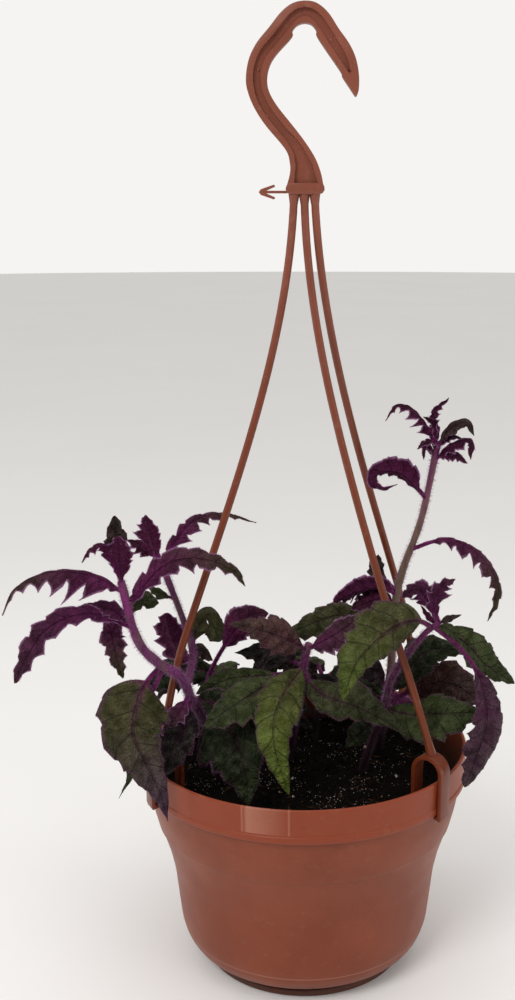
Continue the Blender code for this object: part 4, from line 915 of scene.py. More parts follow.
def midrib(design, rows):
    """Places, directions, face normals and sideways directions at the rows."""
    dense = smooth_route(design["path"], ROUTE_SAMPLES)
    even = np.linspace(0.0, 1.0, ROUTE_SAMPLES)
    spots, along = (np.stack([np.interp(rows, even, column) for column in line.T], axis=1)
                    for line in (dense, np.gradient(dense, axis=0)))
    along /= np.linalg.norm(along, axis=1)[:, None]
    face = np.array(design["faces"], dtype=float)
    normal = face - (along @ face)[:, None] * along
    normal /= np.linalg.norm(normal, axis=1)[:, None]
    return spots, along, normal, np.cross(along, normal)


print("samples along a midrib:", ROUTE_SAMPLES)

# %% [markdown]
# Now the leaf's skin. Every row of the mesh is a closed ring: thirteen points over the upper face and
# thirteen back along the lower one. The face sinks at the midrib, each half arches a little, and the
# skin swells between the side veins, as quilting does. The ring closes to a round petiole at the stem.

# %% The skin of one leaf
COLUMNS = 13
HALF_TOOTH_ROWS = 6
ARCH = 0.07                              # rise of each half, as a share of its width
MIDRIB_SUNK, MIDRIB_HALF = 0.8, 1.1      # the midrib's groove, mm
RIDGE_HIGH, RIDGE_HALF = 0.75, 0.9       # its ridge on the lower face, mm
THIN, THICKER = 0.26, 0.012              # half thickness in mm, and what each mm of width adds
STALK, STALK_GAIN, STALK_MOST = 0.35, 0.11, 1.1  # the same for the petiole, and its limit
TIP_HALF = 0.12
STALK_END, STALK_FADE = 0.04, 0.05       # shares of the length over which petiole turns to blade


def blade_rows(bare, steps):
    """Even steps from the blade's foot to its tip, as shares of the leaf's length."""
    return bare + (1 - bare) * np.arange(1, steps + 1) / steps


def leaf_skin(design):
    """Rings in mm and, for each of their points, where on the leaf it is."""
    bare, half_teeth = design["bare"], 2 * design["teeth"]
    coarse = np.concatenate([[0.0, bare], blade_rows(bare, half_teeth)])
    rows = np.concatenate([np.linspace(0.0, bare, 4 + round(18 * bare)),
                           blade_rows(bare, half_teeth * HALF_TOOTH_ROWS)])
    spots, along, normal, across = midrib(design, rows)
    rough = midrib(design, coarse)
    droop = math.radians(design["droop"])
    level, fall = math.cos(droop), math.sin(droop)
    size = max(design["half"])
    stalk = min(STALK_MOST, STALK + STALK_GAIN * size)
    share = blade_share(design, rows)
    stalky = np.clip((bare + STALK_END - rows) / STALK_FADE, 0.0, 1.0)
    flat = 1 - stalky
    least = stalk * (1 - share) + TIP_HALF * share
    # The two halves of the blade: their teeth, and their widths before and after these are cut
    phases, wholes, widths, points = [], [], [], []
    for side, sign in ((0, 1), (1, -1)):
        reach = sign * level * rough[3] - fall * rough[2] + VEIN_SWEEP * rough[1]
        kept = np.interp(rows, coarse, held_back(design, rough[0], rough[1], reach, coarse, side))
        whole = smooth_width(design, rows, side) * kept
        left_over, point = teeth(design, rows, side, TOOTH_SHARPNESS)
        phases.append(tooth_phase(design, rows, side))
        wholes.append(np.maximum(whole, least))
        widths.append(np.maximum(whole * left_over, least))
        points.append(point)
    # Once over the upper face and back along the lower one; t is 0 at the midrib and 1 at the margin
    ring = {key: [] for key in ("point", "edge", "upper", "lateral")}
    for upper in (1, -1):
        for v in np.linspace(upper, -upper, COLUMNS):
            side, sign = (0, 1) if v >= 0 else (1, -1)
            t, whole = abs(v), wholes[side]
            y = t * widths[side]
            r = np.clip(y / whole, 0.0, 1.0)
            groove = 0.5 - 0.5 * np.cos(2 * np.pi * (phases[side] - VEIN_START * (1.0 - r)))
            bulge = whole * np.sin(np.pi * r) * (ARCH + design["swelling"] * (1 - groove))
            wave = design["curl"] * whole * r**2 * np.sin(2 * np.pi * phases[side] + 1.3 * side)
            sunk = MIDRIB_SUNK * np.exp(-(y / MIDRIB_HALF)**2) * (1 - 0.7 * share)
            height = (bulge + wave - sunk) * flat - fall * y * (0.75 + 0.25 * r)
            hook = 0.5 * design["depth"] * whole * points[side]**3 * t**5
            round_half = math.sqrt(max(0.0, 1 - t * t)) * stalk * 0.9 + 0.04
            flat_half = (THIN + THICKER * size) * (1 - 0.65 * t**6) / level * (1 - 0.4 * share)
            if upper == -1:
                flat_half = flat_half + RIDGE_HIGH * (1 - share) * np.exp(-(y / RIDGE_HALF)**2)
            thick = stalky * round_half + flat * flat_half
            ring["point"].append(spots + across * (sign * level * y)[:, None]
                                 + normal * (height + upper * thick)[:, None]
                                 + along * (VEIN_SWEEP * y + hook)[:, None])
            ring["edge"].append(np.full(len(rows), t))
            ring["upper"].append(np.full(len(rows), 1.0 if upper == 1 else 0.0))
            ring["lateral"].append(r * sign)
    facts = {key: np.stack(value, axis=1) for key, value in ring.items()}
    facts["share"], facts["stalky"] = (np.repeat(value[:, None], 2 * COLUMNS, axis=1)
                                       for value in (share, stalky))
    return facts, phases


print("points in a ring:", 2 * COLUMNS)

# %% [markdown]
# The rings are joined by quads. A surface that is lofted in Blender would hide the order of its points,
# and here that order is needed: it tells which half of the leaf a face is on, and so which veins it has.

# %% Faces between the rings


def leaf_faces(rows):
    """Quads between neighbouring rings and the two end caps, with the side that each quad is on."""
    around = 2 * COLUMNS
    quads, sides = [], []
    for i in range(rows - 1):
        for j in range(around):
            k = (j + 1) % around
            quads.append((i * around + j, i * around + k, (i + 1) * around + k, (i + 1) * around + j))
            sides.append(1 if COLUMNS // 2 < j + 0.5 < COLUMNS + COLUMNS // 2 else 0)
    caps = [tuple(reversed(range(around))), tuple((rows - 1) * around + j for j in range(around))]
    return quads, sides, caps


def outward(points, quads):
    """True when the faces look outwards: the volume that they enclose is positive."""
    corner = points[np.array(quads)]
    cross = np.cross(corner[:, 2] - corner[:, 0], corner[:, 3] - corner[:, 1])
    return float(np.einsum("ij,ij->", corner.mean(axis=1), cross)) > 0


print("faces between two rings:", 2 * COLUMNS)

# %% [markdown]
# All leaves of a shoot go into one mesh. Each vertex also notes where on its leaf it is, for the
# material and for the hairs. Young leaves get two more teeth a side than the solid model's, and curlier
# margins; older ones get one more tooth, shallower bays and deeper quilting. Such teeth are too fine for
# a solid.

# %% The mesh of a shoot's leaves
BOX_MARGIN = 0.3
BOX_LOW, BOX_HIGH = (np.array(cad_box[k]) / MM + way * BOX_MARGIN for k, way in ((0, 1), (1, -1)))
FRINGE_FROM = 0.9  # the margin's fringe of hairs starts this far out from the midrib
YOUNG_KIND = {"more_teeth": 2, "bays": 0.85, "curl": 0.12, "swelling": 0.085, "fringe": 7.0,
              "flush": 0.4}
OLDER_KIND = {"more_teeth": 1, "bays": 0.6, "curl": 0.10, "swelling": 0.12, "fringe": 3.0,
              "flush": 0.1}
FACE_FUZZ, STALK_FUZZ = 0.2, 2.0  # how densely hairs stand; a margin has the kind's fringe more


def leaf_tones(tone, share, edge, stalky, flush):
    """The colour at each point: foot to tip of the blade, and purple at the petiole and midrib."""
    # The purple of the petiole runs a little way up the midrib
    purple = np.clip(stalky + np.exp(-share / 0.25 - (edge / flush)**2) * 0.8, 0.0, 1.0)[:, None]
    foot, tip = (np.array(paint(code)) for code in BLADE_TONES[tone])
    ripe = np.clip((share[:, None] - 0.3) / 0.6, 0.0, 1.0)
    return (1 - purple) * ((1 - ripe) * foot + ripe * tip) + purple * np.array(paint(PETIOLE_TONE))


def note(mesh, name, kind, domain, values):
    """Values kept on the mesh under a name, for its material and its hairs."""
    part = {"FLOAT": "value", "FLOAT_VECTOR": "vector", "FLOAT_COLOR": "color"}[kind]
    mesh.attributes.new(name, kind, domain).data.foreach_set(part, np.ravel(values))


def leaves_mesh(name, designs):
    """All the leaves of a shoot in one mesh, with the notes that material and hairs read."""
    points, faces, which, corners, places, fuzz, tones = ([] for _ in range(7))
    for design in designs:
        young = design["tone"] in YOUNG
        kind = YOUNG_KIND if young else OLDER_KIND
        skin, phases = leaf_skin(dict(
            design, teeth=design["teeth"] + kind["more_teeth"], depth=design["depth"] * kind["bays"],
            curl=kind["curl"], swelling=kind["swelling"]))
        rows = len(skin["point"])
        start = sum(len(block) for block in points)
        flat = skin["point"].reshape(-1, 3)
        edge, upper, lateral, share, stalky = (
            skin[key].reshape(-1) for key in ("edge", "upper", "lateral", "share", "stalky"))
        quads, sides, caps = leaf_faces(rows)
        flip = not outward(flat - flat.mean(axis=0), quads)
        for face, side in zip(quads + caps, sides + [0, 0]):
            face = face[::-1] if flip else face
            faces.append(tuple(start + k for k in face))
            corners += [(phases[side][k // (2 * COLUMNS)], lateral[k], 0.0) for k in face]
            which.append(0 if young else 1)
        points.append(np.clip(flat, BOX_LOW, BOX_HIGH))
        places.append(np.stack([edge * (1 - stalky), np.maximum(upper, stalky), share], axis=1))
        fuzz.append(FACE_FUZZ + kind["fringe"] * (edge > FRINGE_FROM) + STALK_FUZZ * stalky)
        tones.append(leaf_tones(design["tone"], share, edge, stalky, kind["flush"]))
    mesh = bpy.data.meshes.new(name)
    mesh.from_pydata(np.concatenate(points) * MM, [], faces)
    note(mesh, "place", "FLOAT_VECTOR", "POINT", np.concatenate(places))
    note(mesh, "tone", "FLOAT_COLOR", "POINT", np.concatenate(tones))
    note(mesh, "fuzz", "FLOAT", "POINT", np.concatenate(fuzz))
    note(mesh, "vein_lines", "FLOAT_VECTOR", "CORNER", corners)
    mesh.polygons.foreach_set("material_index", np.array(which, dtype=np.int32))
    mesh.shade_smooth()
    return mesh


print("more teeth a side:", YOUNG_KIND["more_teeth"], "or", OLDER_KIND["more_teeth"])

# %% [markdown]
# A stem runs smoothly through its points and on into the soil, where its root holds it. The table's
# leaves start near their stem, and each one is moved the last bit, to the stem's middle.

# %% Stems in the soil, and leaves on the stems
ROOT_DEPTH = 10.0
STEM_STEP = 2.0  # mm between two rings of a stem


def stem_route(name):
    """The stem's smooth route in mm, with a root below the soil's top."""
    points = [np.array(p, dtype=float) for p in STEMS[name]["route"]]
    if name != "branch":
        down = points[0] - points[1]
        points.insert(0, points[0] + down / np.linalg.norm(down) * ROOT_DEPTH)
    length = sum(np.linalg.norm(b - a) for a, b in zip(points, points[1:]))
    return smooth_route(points, max(8, round(length / STEM_STEP)))


def seated(design, route):
    """The leaf with its root moved to the middle of its stem."""
    fine = smooth_route(route, 200)
    root = np.array(design["path"][0], dtype=float)
    nearest = fine[np.argmin(np.linalg.norm(fine - root, axis=1))]
    return dict(design, path=[nearest] + design["path"][1:])


print("stems have a ring every", STEM_STEP, "mm")

# %% [markdown]
# Each shoot is put together: its stems are swept along their routes, the leaves are set on them, and
# all of it becomes one piece, as it grew. Joining keeps each part's finish, where a union would take
# long and gain nothing inside a stem. Hairs are a piece of their own on the same body, because they
# have another finish.

# %% Grow the shoots
SLIMMER = 0.9    # the hairs take up a little of the stem's measured thickness
HAIR_ROOM = 1.6  # hairs start this much farther inside the box than leaves may reach
FIRST_SEED = 11


def joined(name, meshes):
    """Several meshes as one piece, each part keeping its own finish."""
    pieces = [new_piece(name, mesh) for mesh in meshes]
    with bpy.context.temp_override(active_object=pieces[0], selected_editable_objects=pieces):
        bpy.ops.object.join()
    return pieces[0]


def taken(piece):
    """The mesh of an object that is then removed."""
    mesh = piece.data
    bpy.data.objects.remove(piece, do_unlink=True)
    return mesh


for number, (node, stems) in enumerate(SHOOTS.items()):
    purple = node in ("shoot_left", "shoot_tall")
    stem_meshes, designs = [], []
    for stem, rows in stems:
        route = stem_route(stem)
        foot, tip = STEMS[stem]["radii"]
        stem_meshes.append(grown(stem, route_curve(stem, route), STEM_TREE, {
            "Foot radius": foot * SLIMMER * MM, "Tip radius": tip * SLIMMER * MM, "Swelling": 0.5,
            "Swelling size": 9 * MM, "Sides": 16, "Fuzz": 1.0, "Tone": paint(STEM_TONES[stem]),
            "Tip tone": paint(PETIOLE_TONE), "Finish": stem_finish}))
        stem_meshes[-1].shade_smooth()
        designs += [seated(design, route) for design in rows]
    blades = leaves_mesh(node + "_leaves", designs)
    for finish in (young_leaf, older_leaf):
        blades.materials.append(finish)
    skins = (taken(joined("stems", [mesh.copy() for mesh in stem_meshes])), blades.copy())
    piece = joined(node + "_growth", [blades] + stem_meshes)
    hairs = []
    # skin, length and thickness in mm, hairs per square mm, lean, finish
    for skin, length, thick, often, lean, finish in (
            (skins[0], 1.7, 0.065, 2.8, 0.3, stem_hair),
            (skins[1], 0.95, 0.045, 1.0, 0.6, young_hair if purple else older_hair)):
        hairs.append(grown(node + "_hairs", skin, HAIR_TREE, {
            "Hairs per square mm": often, "Length": length * MM, "Thickness": thick * MM, "Lean": lean,
            "Lowest corner": tuple((BOX_LOW + HAIR_ROOM) * MM),
            "Highest corner": tuple((BOX_HIGH - HAIR_ROOM) * MM),
            "Seed": FIRST_SEED + number, "Finish": finish}))
    hair_piece = joined(node + "_hairs", hairs)
    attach(piece, "root")
    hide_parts(node)
    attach(hair_piece, "root")
    print(node, "triangles:", count_triangles(piece.data), "hairs:", len(hair_piece.data.polygons) // 4)

# %% [markdown]
# The pot is injection-moulded polypropylene with a terracotta pigment: thin, satin, with softly
# rounded corners and faint marks from its mould. It could be spun with a Screw modifier, but turning
# the section in a few lines of numpy lets every corner of the section be rounded first.

# %% Turn a section about the upright axis
CORNER_SHARE = 0.45


def rounded_corners(section, radius):
    """The section with each corner replaced by a small curve that starts at most radius away."""
    line = [np.array(p, dtype=float) for p in section]
    out = [line[0]]
    for before, corner, after in zip(line, line[1:], line[2:]):
        back, ahead = before - corner, after - corner
        run = min(radius, *(CORNER_SHARE * np.linalg.norm(edge) for edge in (back, ahead)))
        start = corner + back / np.linalg.norm(back) * run
        end = corner + ahead / np.linalg.norm(ahead) * run
        for t in (0.0, 0.25, 0.5, 0.75, 1.0):
            out.append((1 - t)**2 * start + 2 * t * (1 - t) * corner + t**2 * end)
    out.append(line[-1])
    return out


def turned_mesh(name, section, steps):
    """A closed solid of revolution; the section starts and ends on the axis."""
    inner = section[1:-1]
    angles = np.linspace(0, 2 * np.pi, steps, endpoint=False)
    points = [(section[0][0], 0.0, section[0][1]), (section[-1][0], 0.0, section[-1][1])]
    points += [(r * math.cos(a), r * math.sin(a), z) for a in angles for r, z in inner]
    n = len(inner)
    faces = []
    for i in range(steps):
        a, b = 2 + i * n, 2 + ((i + 1) % steps) * n
        faces += [(a + k, a + k + 1, b + k + 1, b + k) for k in range(n - 1)]
        faces += [(0, a, b), (1, b + n - 1, a + n - 1)]
    mesh = bpy.data.meshes.new(name)
    mesh.from_pydata(np.array(points) * MM, [], faces)
    shape = bmesh.new()
    shape.from_mesh(mesh)
    bmesh.ops.recalc_face_normals(shape, faces=shape.faces)
    shape.to_mesh(mesh)
    shape.free()
    return mesh


print("a corner takes at most this share of an edge:", CORNER_SHARE)

# %% [markdown]
# The section goes up the inner wall, over the lip, down the band and the outer wall, and across the
# foot ring. Its numbers were measured on the photograph, and the wall is as thin as such pots have it.

# %% The pot's body
POT_HEIGHT = 112.0
RIM_RADIUS = 80.0
WALL = 1.9
BAND_FOOT = POT_HEIGHT - 16.5
POT_SECTION = [
    # radius, height
    (0.0, 8.6), (52.0, 8.6), (56.5, 11.5), (59.4, 18.0), (61.4, 30.0), (63.4, 48.0), (66.2, 60.0),
    (70.0, 72.4), (73.8, 84.0), (76.6, 97.0), (RIM_RADIUS - WALL, POT_HEIGHT - 0.5),
    (RIM_RADIUS - WALL + 0.5, POT_HEIGHT), (RIM_RADIUS - 0.5, POT_HEIGHT),
    (RIM_RADIUS - 0.1, POT_HEIGHT - 0.6), (RIM_RADIUS - 0.5, BAND_FOOT + 3.6),
    (RIM_RADIUS, BAND_FOOT + 3.0), (RIM_RADIUS, BAND_FOOT), (77.4, BAND_FOOT), (75.7, 84.0),
    (72.8, 72.7), (72.0, 72.1), (68.0, 60.0), (65.3, 48.0), (63.3, 30.0), (62.1, 20.0), (60.0, 13.6),
    (57.0, 9.2), (54.8, 7.6), (47.6, 6.4), (47.6, 4.2), (50.0, 3.6), (50.0, 0.8), (49.0, 0.0), (0.0, 0.0)]
pot_mesh = turned_mesh("pot_moulding", rounded_corners(POT_SECTION, 3.0), 176)
pot_mesh.shade_smooth()
pot_mesh.set_sharp_from_angle(angle=math.radians(50))
print("pot triangles:", count_triangles(pot_mesh))

# %% [markdown]
# The pot's colour is one pigment, a shade redder where the wall is thick at the rim. Two upright lines on
# the band, where an insert of the mould met it, bound a smoother panel at the front, made paler by a
# painted highlight. A faint pale line, a painted highlight on the mould's parting line, runs round where
# the bottom corner begins. Each mark is a mask made from the place on the pot, so no picture has to be
# drawn for it.

# %% Mould marks and painted highlights on the pot
INSERT_LINES = (-0.347, -0.085)  # x over the radius, which is the sine of the azimuth
HIGHLIGHT_LEFT, HIGHLIGHT_FADE = 0.345, (0.02, 0.26)
BAND_EDGE = 4.2                    # the band's lower edge is this high
PARTING_LINE = 16.5


def round_place(tree, spot):
    """x, y, z and the distance from the upright axis."""
    x, y, z = add(tree, "ShaderNodeSeparateXYZ", {0: spot}).outputs
    flat = add(tree, "ShaderNodeVectorMath", {0: spot, 1: (1, 1, 0)}, operation="MULTIPLY")
    return x, y, z, add(tree, "ShaderNodeVectorMath", {0: flat}, operation="LENGTH")


def mould_marks(tree, spot, colour, grain):
    """The band, the insert's lines, the painted highlight on the panel, and the parting line with its
    painted highlight: their colour and relief.
    """
    x, y, z, radius = round_place(tree, spot)
    band = add(tree, "ShaderNodeMath", {0: z, 1: BAND_FOOT * MM}, operation="GREATER_THAN")
    colour = coat(tree, colour, "#86371B", band, 0.75)
    # The insert met the band in front, above the band's lower edge
    sine = add(tree, "ShaderNodeMath", {0: x, 1: radius}, operation="DIVIDE")
    front = add(tree, "ShaderNodeMath", {0: y, 1: 0.0}, operation="LESS_THAN")
    lip = add(tree, "ShaderNodeMath", {0: z, 1: (BAND_FOOT + BAND_EDGE) * MM},
              operation="GREATER_THAN")
    lines = [fine_line(tree, sine, place, 0.002, 0.009) for place in INSERT_LINES]
    ridges = add(tree, "ShaderNodeMath", {0: lines[0], 1: lines[1]}, operation="ADD")
    for where in (lip, front):
        ridges = add(tree, "ShaderNodeMath", {0: ridges, 1: where}, operation="MULTIPLY")
    height = add(tree, "ShaderNodeMath", {0: ridges, 1: 2.5, 2: grain}, operation="MULTIPLY_ADD")
    colour = coat(tree, colour, "#B87C66", ridges, 0.35)
    # A painted highlight makes the panel between the lines paler, most of all beside the left one
    off = add(tree, "ShaderNodeMath", {0: sine, 1: HIGHLIGHT_LEFT}, operation="ADD")
    right = add(tree, "ShaderNodeMapRange", {"Value": off, "From Max": 0.03}, **SOFT)
    panel_highlight = add(tree, "ShaderNodeMapRange", {
        "Value": off, "From Min": HIGHLIGHT_FADE[0], "From Max": HIGHLIGHT_FADE[1], "To Min": 0.40,
        "To Max": 0.0})
    colour = coat(tree, colour, "#C08C78", panel_highlight, right, lip, front)
    # The parting line is drawn as a pale line of painted highlight, where its small edge would catch the
    # light.
    parting_highlight = fine_line(tree, z, PARTING_LINE * MM, 0.1 * MM, 0.5 * MM, 0.3)
    return coat(tree, colour, "#C08C78", parting_highlight), height


print("parting line", PARTING_LINE, "mm up; the insert's lines at the sines", INSERT_LINES)

# %% [markdown]
# Use leaves its marks too: soil has splashed up round the foot and dried. The inner wall above the soil
# is darkened as painted shade, and the hanger is darker towards its clips than at the hook.

# %% Painted shade and stains on the pot, and the hanger's colour
MID_WALL, WALL_LEAN = 60.2, 0.173  # the wall's middle: radius at the floor, and gain per mm upwards
SOIL_LEVEL, INNER_SHADE_HEIGHTS, SPLASHED = 88, (96, 111), (3, 13)
CLIP_FOOT, STRAND_TOP = 93.6, 373.0


def pot_marks(tree, spot, colour, grain):
    """The marks of the mould, with the painted shade on the inner wall and the dirt at the foot over
    them.
    """
    colour, height = mould_marks(tree, spot, colour, grain)
    x, y, z, radius = round_place(tree, spot)
    wall = add(tree, "ShaderNodeMath", {0: z, 1: WALL_LEAN, 2: MID_WALL * MM}, operation="MULTIPLY_ADD")
    within = add(tree, "ShaderNodeMath", {0: radius, 1: wall}, operation="LESS_THAN")
    above = add(tree, "ShaderNodeMath", {0: z, 1: SOIL_LEVEL * MM}, operation="GREATER_THAN")
    inner_wall_shade = add(tree, "ShaderNodeMapRange", {"Value": z, "From Min": INNER_SHADE_HEIGHTS[0] * MM, "From Max": INNER_SHADE_HEIGHTS[1] * MM,
                                           "To Min": 0.8, "To Max": 0.0})
    # Painted shade: the inner wall above the soil is darkened, most of all low down, where the leaves
    # shade it.
    colour = coat(tree, colour, "#1E1009", inner_wall_shade, within, above)
    dirt = add(tree, "ShaderNodeTexNoise", {"Vector": spot, "Scale": 1 / (6 * MM), "Detail": 5.0,
                                            "Roughness": 0.7})
    low = add(tree, "ShaderNodeMapRange", {
        "Value": z, "From Min": SPLASHED[0] * MM, "From Max": SPLASHED[1] * MM, "To Min": 0.42,
        "To Max": 0.0})
    low = add(tree, "ShaderNodeMath", {0: dirt, 1: low}, operation="ADD")
    low = add(tree, "ShaderNodeMapRange", {"Value": low, "From Min": 0.62, "From Max": 0.85,
                                           "To Max": 0.75})
    return coat(tree, colour, "#3B2A22", low), height


def hanger_darker_below(tree, spot, colour, grain):
    """The hanger's colour turns from a darker brown at the clips to the plastic's own colour at the hook.
    """
    height = add(tree, "ShaderNodeSeparateXYZ", {0: spot}).outputs[2]
    hook_share = add(tree, "ShaderNodeMapRange", {"Value": height, "From Min": CLIP_FOOT * MM,
                                             "From Max": STRAND_TOP * MM})
    hook_share = add(tree, "ShaderNodeMath", {0: hook_share, 1: 2.2}, operation="POWER")
    return add(tree, "ShaderNodeMix", {0: hook_share, 6: paint("#682C14"), 7: colour}, data_type="RGBA"), grain


print("splashes reach", SPLASHED[1], "mm up")

# %% [markdown]
# Pot and hanger share one plastic. Polypropylene is satin, with an IOR of 1.49. Its mould leaves a fine
# grain, and smears of dried water and soil dust pale it and dull its highlights.

# %% Finish of the pot and the hanger


def polypropylene(name, body, shade, dust, rough, shine, own_marks):
    """Moulded polypropylene: satin, a little cloudy, with fine grain under a film of dust."""
    finish, tree, shader, spot = new_finish(name)
    cloud = add(tree, "ShaderNodeTexNoise", {"Vector": spot, "Scale": 1 / (28 * MM), "Detail": 3.0})
    mixed = add(tree, "ShaderNodeMapRange", {"Value": cloud, "From Min": 0.35, "From Max": 0.65})
    grain = add(tree, "ShaderNodeTexNoise", {"Vector": spot, "Scale": 1 / (0.9 * MM), "Detail": 2.0})
    smear = patches(tree, spot, 5, 6.0, 0.56, 0.74, 0.0, 0.22, Roughness=0.7)
    colour, height = own_marks(tree, spot, coat(tree, paint(body), shade, mixed), grain)
    colour = coat(tree, colour, dust, smear)
    gloss = add(tree, "ShaderNodeMapRange", {"Value": cloud, "To Min": rough - 0.08,
                                             "To Max": rough + 0.10})
    gloss = add(tree, "ShaderNodeMath", {0: smear, 1: 0.8, 2: gloss}, operation="MULTIPLY_ADD")
    tree.links.new(gloss.outputs[0], shader.inputs["Roughness"])
    relief = add(tree, "ShaderNodeBump", {"Strength": 0.35, "Distance": 0.12 * MM, "Height": height})
    dress(tree, shader, colour, relief, {
        "IOR": 1.49, "Specular IOR Level": shine, "Sheen Weight": 0.05, "Sheen Roughness": 0.45,
        "Sheen Tint": paint("#D8C4B8")})
    return finish


pot_plastic = polypropylene("moulded terracotta polypropylene", "#803B20", "#76341B", "#94705A",
                            0.44, 0.32, pot_marks)
hanger_plastic = polypropylene("moulded hanger polypropylene", "#884D3D", "#7C4433", "#9E7868",
                               0.32, 0.30, hanger_darker_below)
pot = new_piece("pot_moulding", pot_mesh, pot_plastic)
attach(pot, "root")
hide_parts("pot")
print("finishes:", pot_plastic.name, "and", hanger_plastic.name)

# %% [markdown]
# Where plastic was injected, small round nubs stay on the lip, and two of them show at the front. A
# tree sets a flattened ball on each point of a line. Placing two balls by hand would be as quick, but
# the same tree also makes the mould's dots in the hook.

# %% Nubs on the lip
LIP_RADIUS = 79.3
NUB_AZIMUTHS = (-19.0, 1.2)


def dot_tree():
    tree = new_tree("dots along a line", [("Radius", "Float", 0.0006), ("Height", "Float", 0.0004)])
    given = add(tree, "NodeGroupInput").outputs
    spots = add(tree, "GeometryNodeCurveToPoints", {"Curve": given["Geometry"]}, mode="EVALUATED")
    ball = add(tree, "GeometryNodeMeshUVSphere", {"Segments": 10, "Rings": 6, "Radius": given["Radius"]})
    squeeze = add(tree, "ShaderNodeMath", {0: given["Height"], 1: given["Radius"]}, operation="DIVIDE")
    shape = add(tree, "ShaderNodeCombineXYZ", {0: 1.0, 1: squeeze, 2: 1.0})
    placed = add(tree, "GeometryNodeInstanceOnPoints", {
        "Points": spots, "Instance": ball, "Scale": shape})
    return end_tree(tree, placed, given["Finish"])


DOT_TREE = dot_tree()
lip_arc = [(LIP_RADIUS * math.sin(a), -LIP_RADIUS * math.cos(a), BAND_FOOT + 3.1)
           for a in np.radians(NUB_AZIMUTHS)]
nubs = new_piece("pot_lip_nubs", grown("pot_lip_nubs", route_curve("lip", lip_arc), DOT_TREE, {
    "Radius": 0.75 * MM, "Height": 0.5 * MM, "Finish": pot_plastic}))
nubs.data.shade_smooth()
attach(nubs, "root")
print("nubs:", count_triangles(nubs.data), "triangles")

# %% [markdown]
# The potting mix is peat with white perlite, bark and brown fibres. Its surface is a turned lid with
# lumps by a sum of waves, and a tree scatters the grains on it: small dark crumbs nearly everywhere,
# fewer white perlite grains, and thin fibres that lie flat. Modelling each by hand would be slower and
# would look too tidy.

# %% The soil's body
SOIL_TOP = 91.6
SOIL_EDGE, EDGE_FADE = 74.5, 4.0  # the lumps fade out towards the pot's wall


def lumps(x, y):
    """Height in mm that the soil stands above or below its level."""
    return (0.8 * np.sin(0.31 * x + 1.3) * np.cos(0.27 * y - 0.4) + 0.5 * np.sin(0.5 * y + 0.2 * x)
            + 0.35 * np.sin(1.1 * x - 0.7 * y + 2.0) + 0.25 * np.sin(1.9 * x + 1.3 * y))


soil_section = [(0.0, SOIL_TOP)] + [(r, SOIL_TOP) for r in np.arange(1.5, 74.0, 1.5)]
soil_section += [(74.6, SOIL_TOP - 0.5), (73.5, 84.0), (69.7, 72.4), (65.9, 60.0), (63.1, 48.0),
                 (61.1, 30.0), (59.1, 18.0), (56.2, 11.7), (52.0, 8.9), (0.0, 8.9)]
soil_mesh = turned_mesh("potting_mix", soil_section, 150)
for vertex in soil_mesh.vertices:
    x, y, z = (value / MM for value in vertex.co)
    if z > SOIL_TOP - 0.3:
        fade = min(1.0, (SOIL_EDGE - math.hypot(x, y)) / EDGE_FADE)
        vertex.co.z += float(lumps(x, y)) * fade * MM
soil_mesh.shade_smooth()
print("soil triangles:", count_triangles(soil_mesh))

# %% [markdown]
# All that is loose in the pot is matt. Peat is nearly black when moist, bark and fibres are brown, and
# perlite is a white foam of glass, greyed here as painted shade. One function gives them their two
# colours in patches, with brighter specks.

# %% Finishes of the soil, its perlite and its fibres
GRIT = 0.7


def loose_matter(name, codes, size, rough, speckle):
    """Matt mineral or plant matter: two colours in patches of a given size, with a rough grain."""
    finish, tree, shader, spot = new_finish(name)
    patch = add(tree, "ShaderNodeTexNoise", {"Vector": spot, "Scale": 1 / (size * MM), "Detail": 5.0,
                                             "Roughness": 0.65})
    mixed = add(tree, "ShaderNodeMapRange", {"Value": patch, "From Min": 0.35, "From Max": 0.68})
    grit = add(tree, "ShaderNodeTexVoronoi", {"Vector": spot, "Scale": 1 / (GRIT * MM)})
    bright = add(tree, "ShaderNodeMapRange", {"Value": grit, "From Max": 0.16,
                                              "To Min": speckle, "To Max": 0.0})
    colour = coat(tree, coat(tree, paint(codes[0]), codes[1], mixed), codes[2], bright)
    relief = add(tree, "ShaderNodeBump", {"Strength": 0.9, "Distance": 0.5 * MM, "Height": patch})
    dress(tree, shader, colour, relief, {"Roughness": rough, "Specular IOR Level": 0.04})
    return finish


peat = loose_matter("moist peat", ("#060504", "#100C0A", "#2A211B"), 3.0, 0.9, 0.7)
crumb_finish = loose_matter("peat and bark crumbs", ("#0A0807", "#1D130D", "#3A2A1E"), 2.0, 0.85, 0.5)
# The perlite's colours are greyed: painted shade over a white grain.
perlite = loose_matter("expanded perlite", ("#807C76", "#B4AFA8", "#D2CEC8"), 1.0, 0.8, 0.3)
fibre_finish = loose_matter("coir fibre", ("#3A281A", "#6A4A30", "#8A6A48"), 2.0, 0.75, 0.2)
soil = new_piece("potting_mix", soil_mesh, peat)
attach(soil, "root")
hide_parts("soil")
print("finishes:", peat.name, crumb_finish.name, perlite.name, fibre_finish.name)

# %% [markdown]
# The grains lie where they fell, so chance places them: a tree sets a lumpy ball on random points of
# the soil's lid, each turned and sized by chance. The same ball, drawn long and thin, is a fibre. A
# particle system would do the same, but a tree keeps its seed and its sizes in one place.

# %% The tree that scatters grains
LID_DEPTH, FACING_UP = 6.0, 0.5
DRIFT, DRIFT_EDGE = 14, 0.12
FULL_TURN = 6.283
LUMPS_IN_A_GRAIN, LUMP_HEIGHT = 2.3, 0.9
SMALLEST, LARGEST = 0.45, 1.3


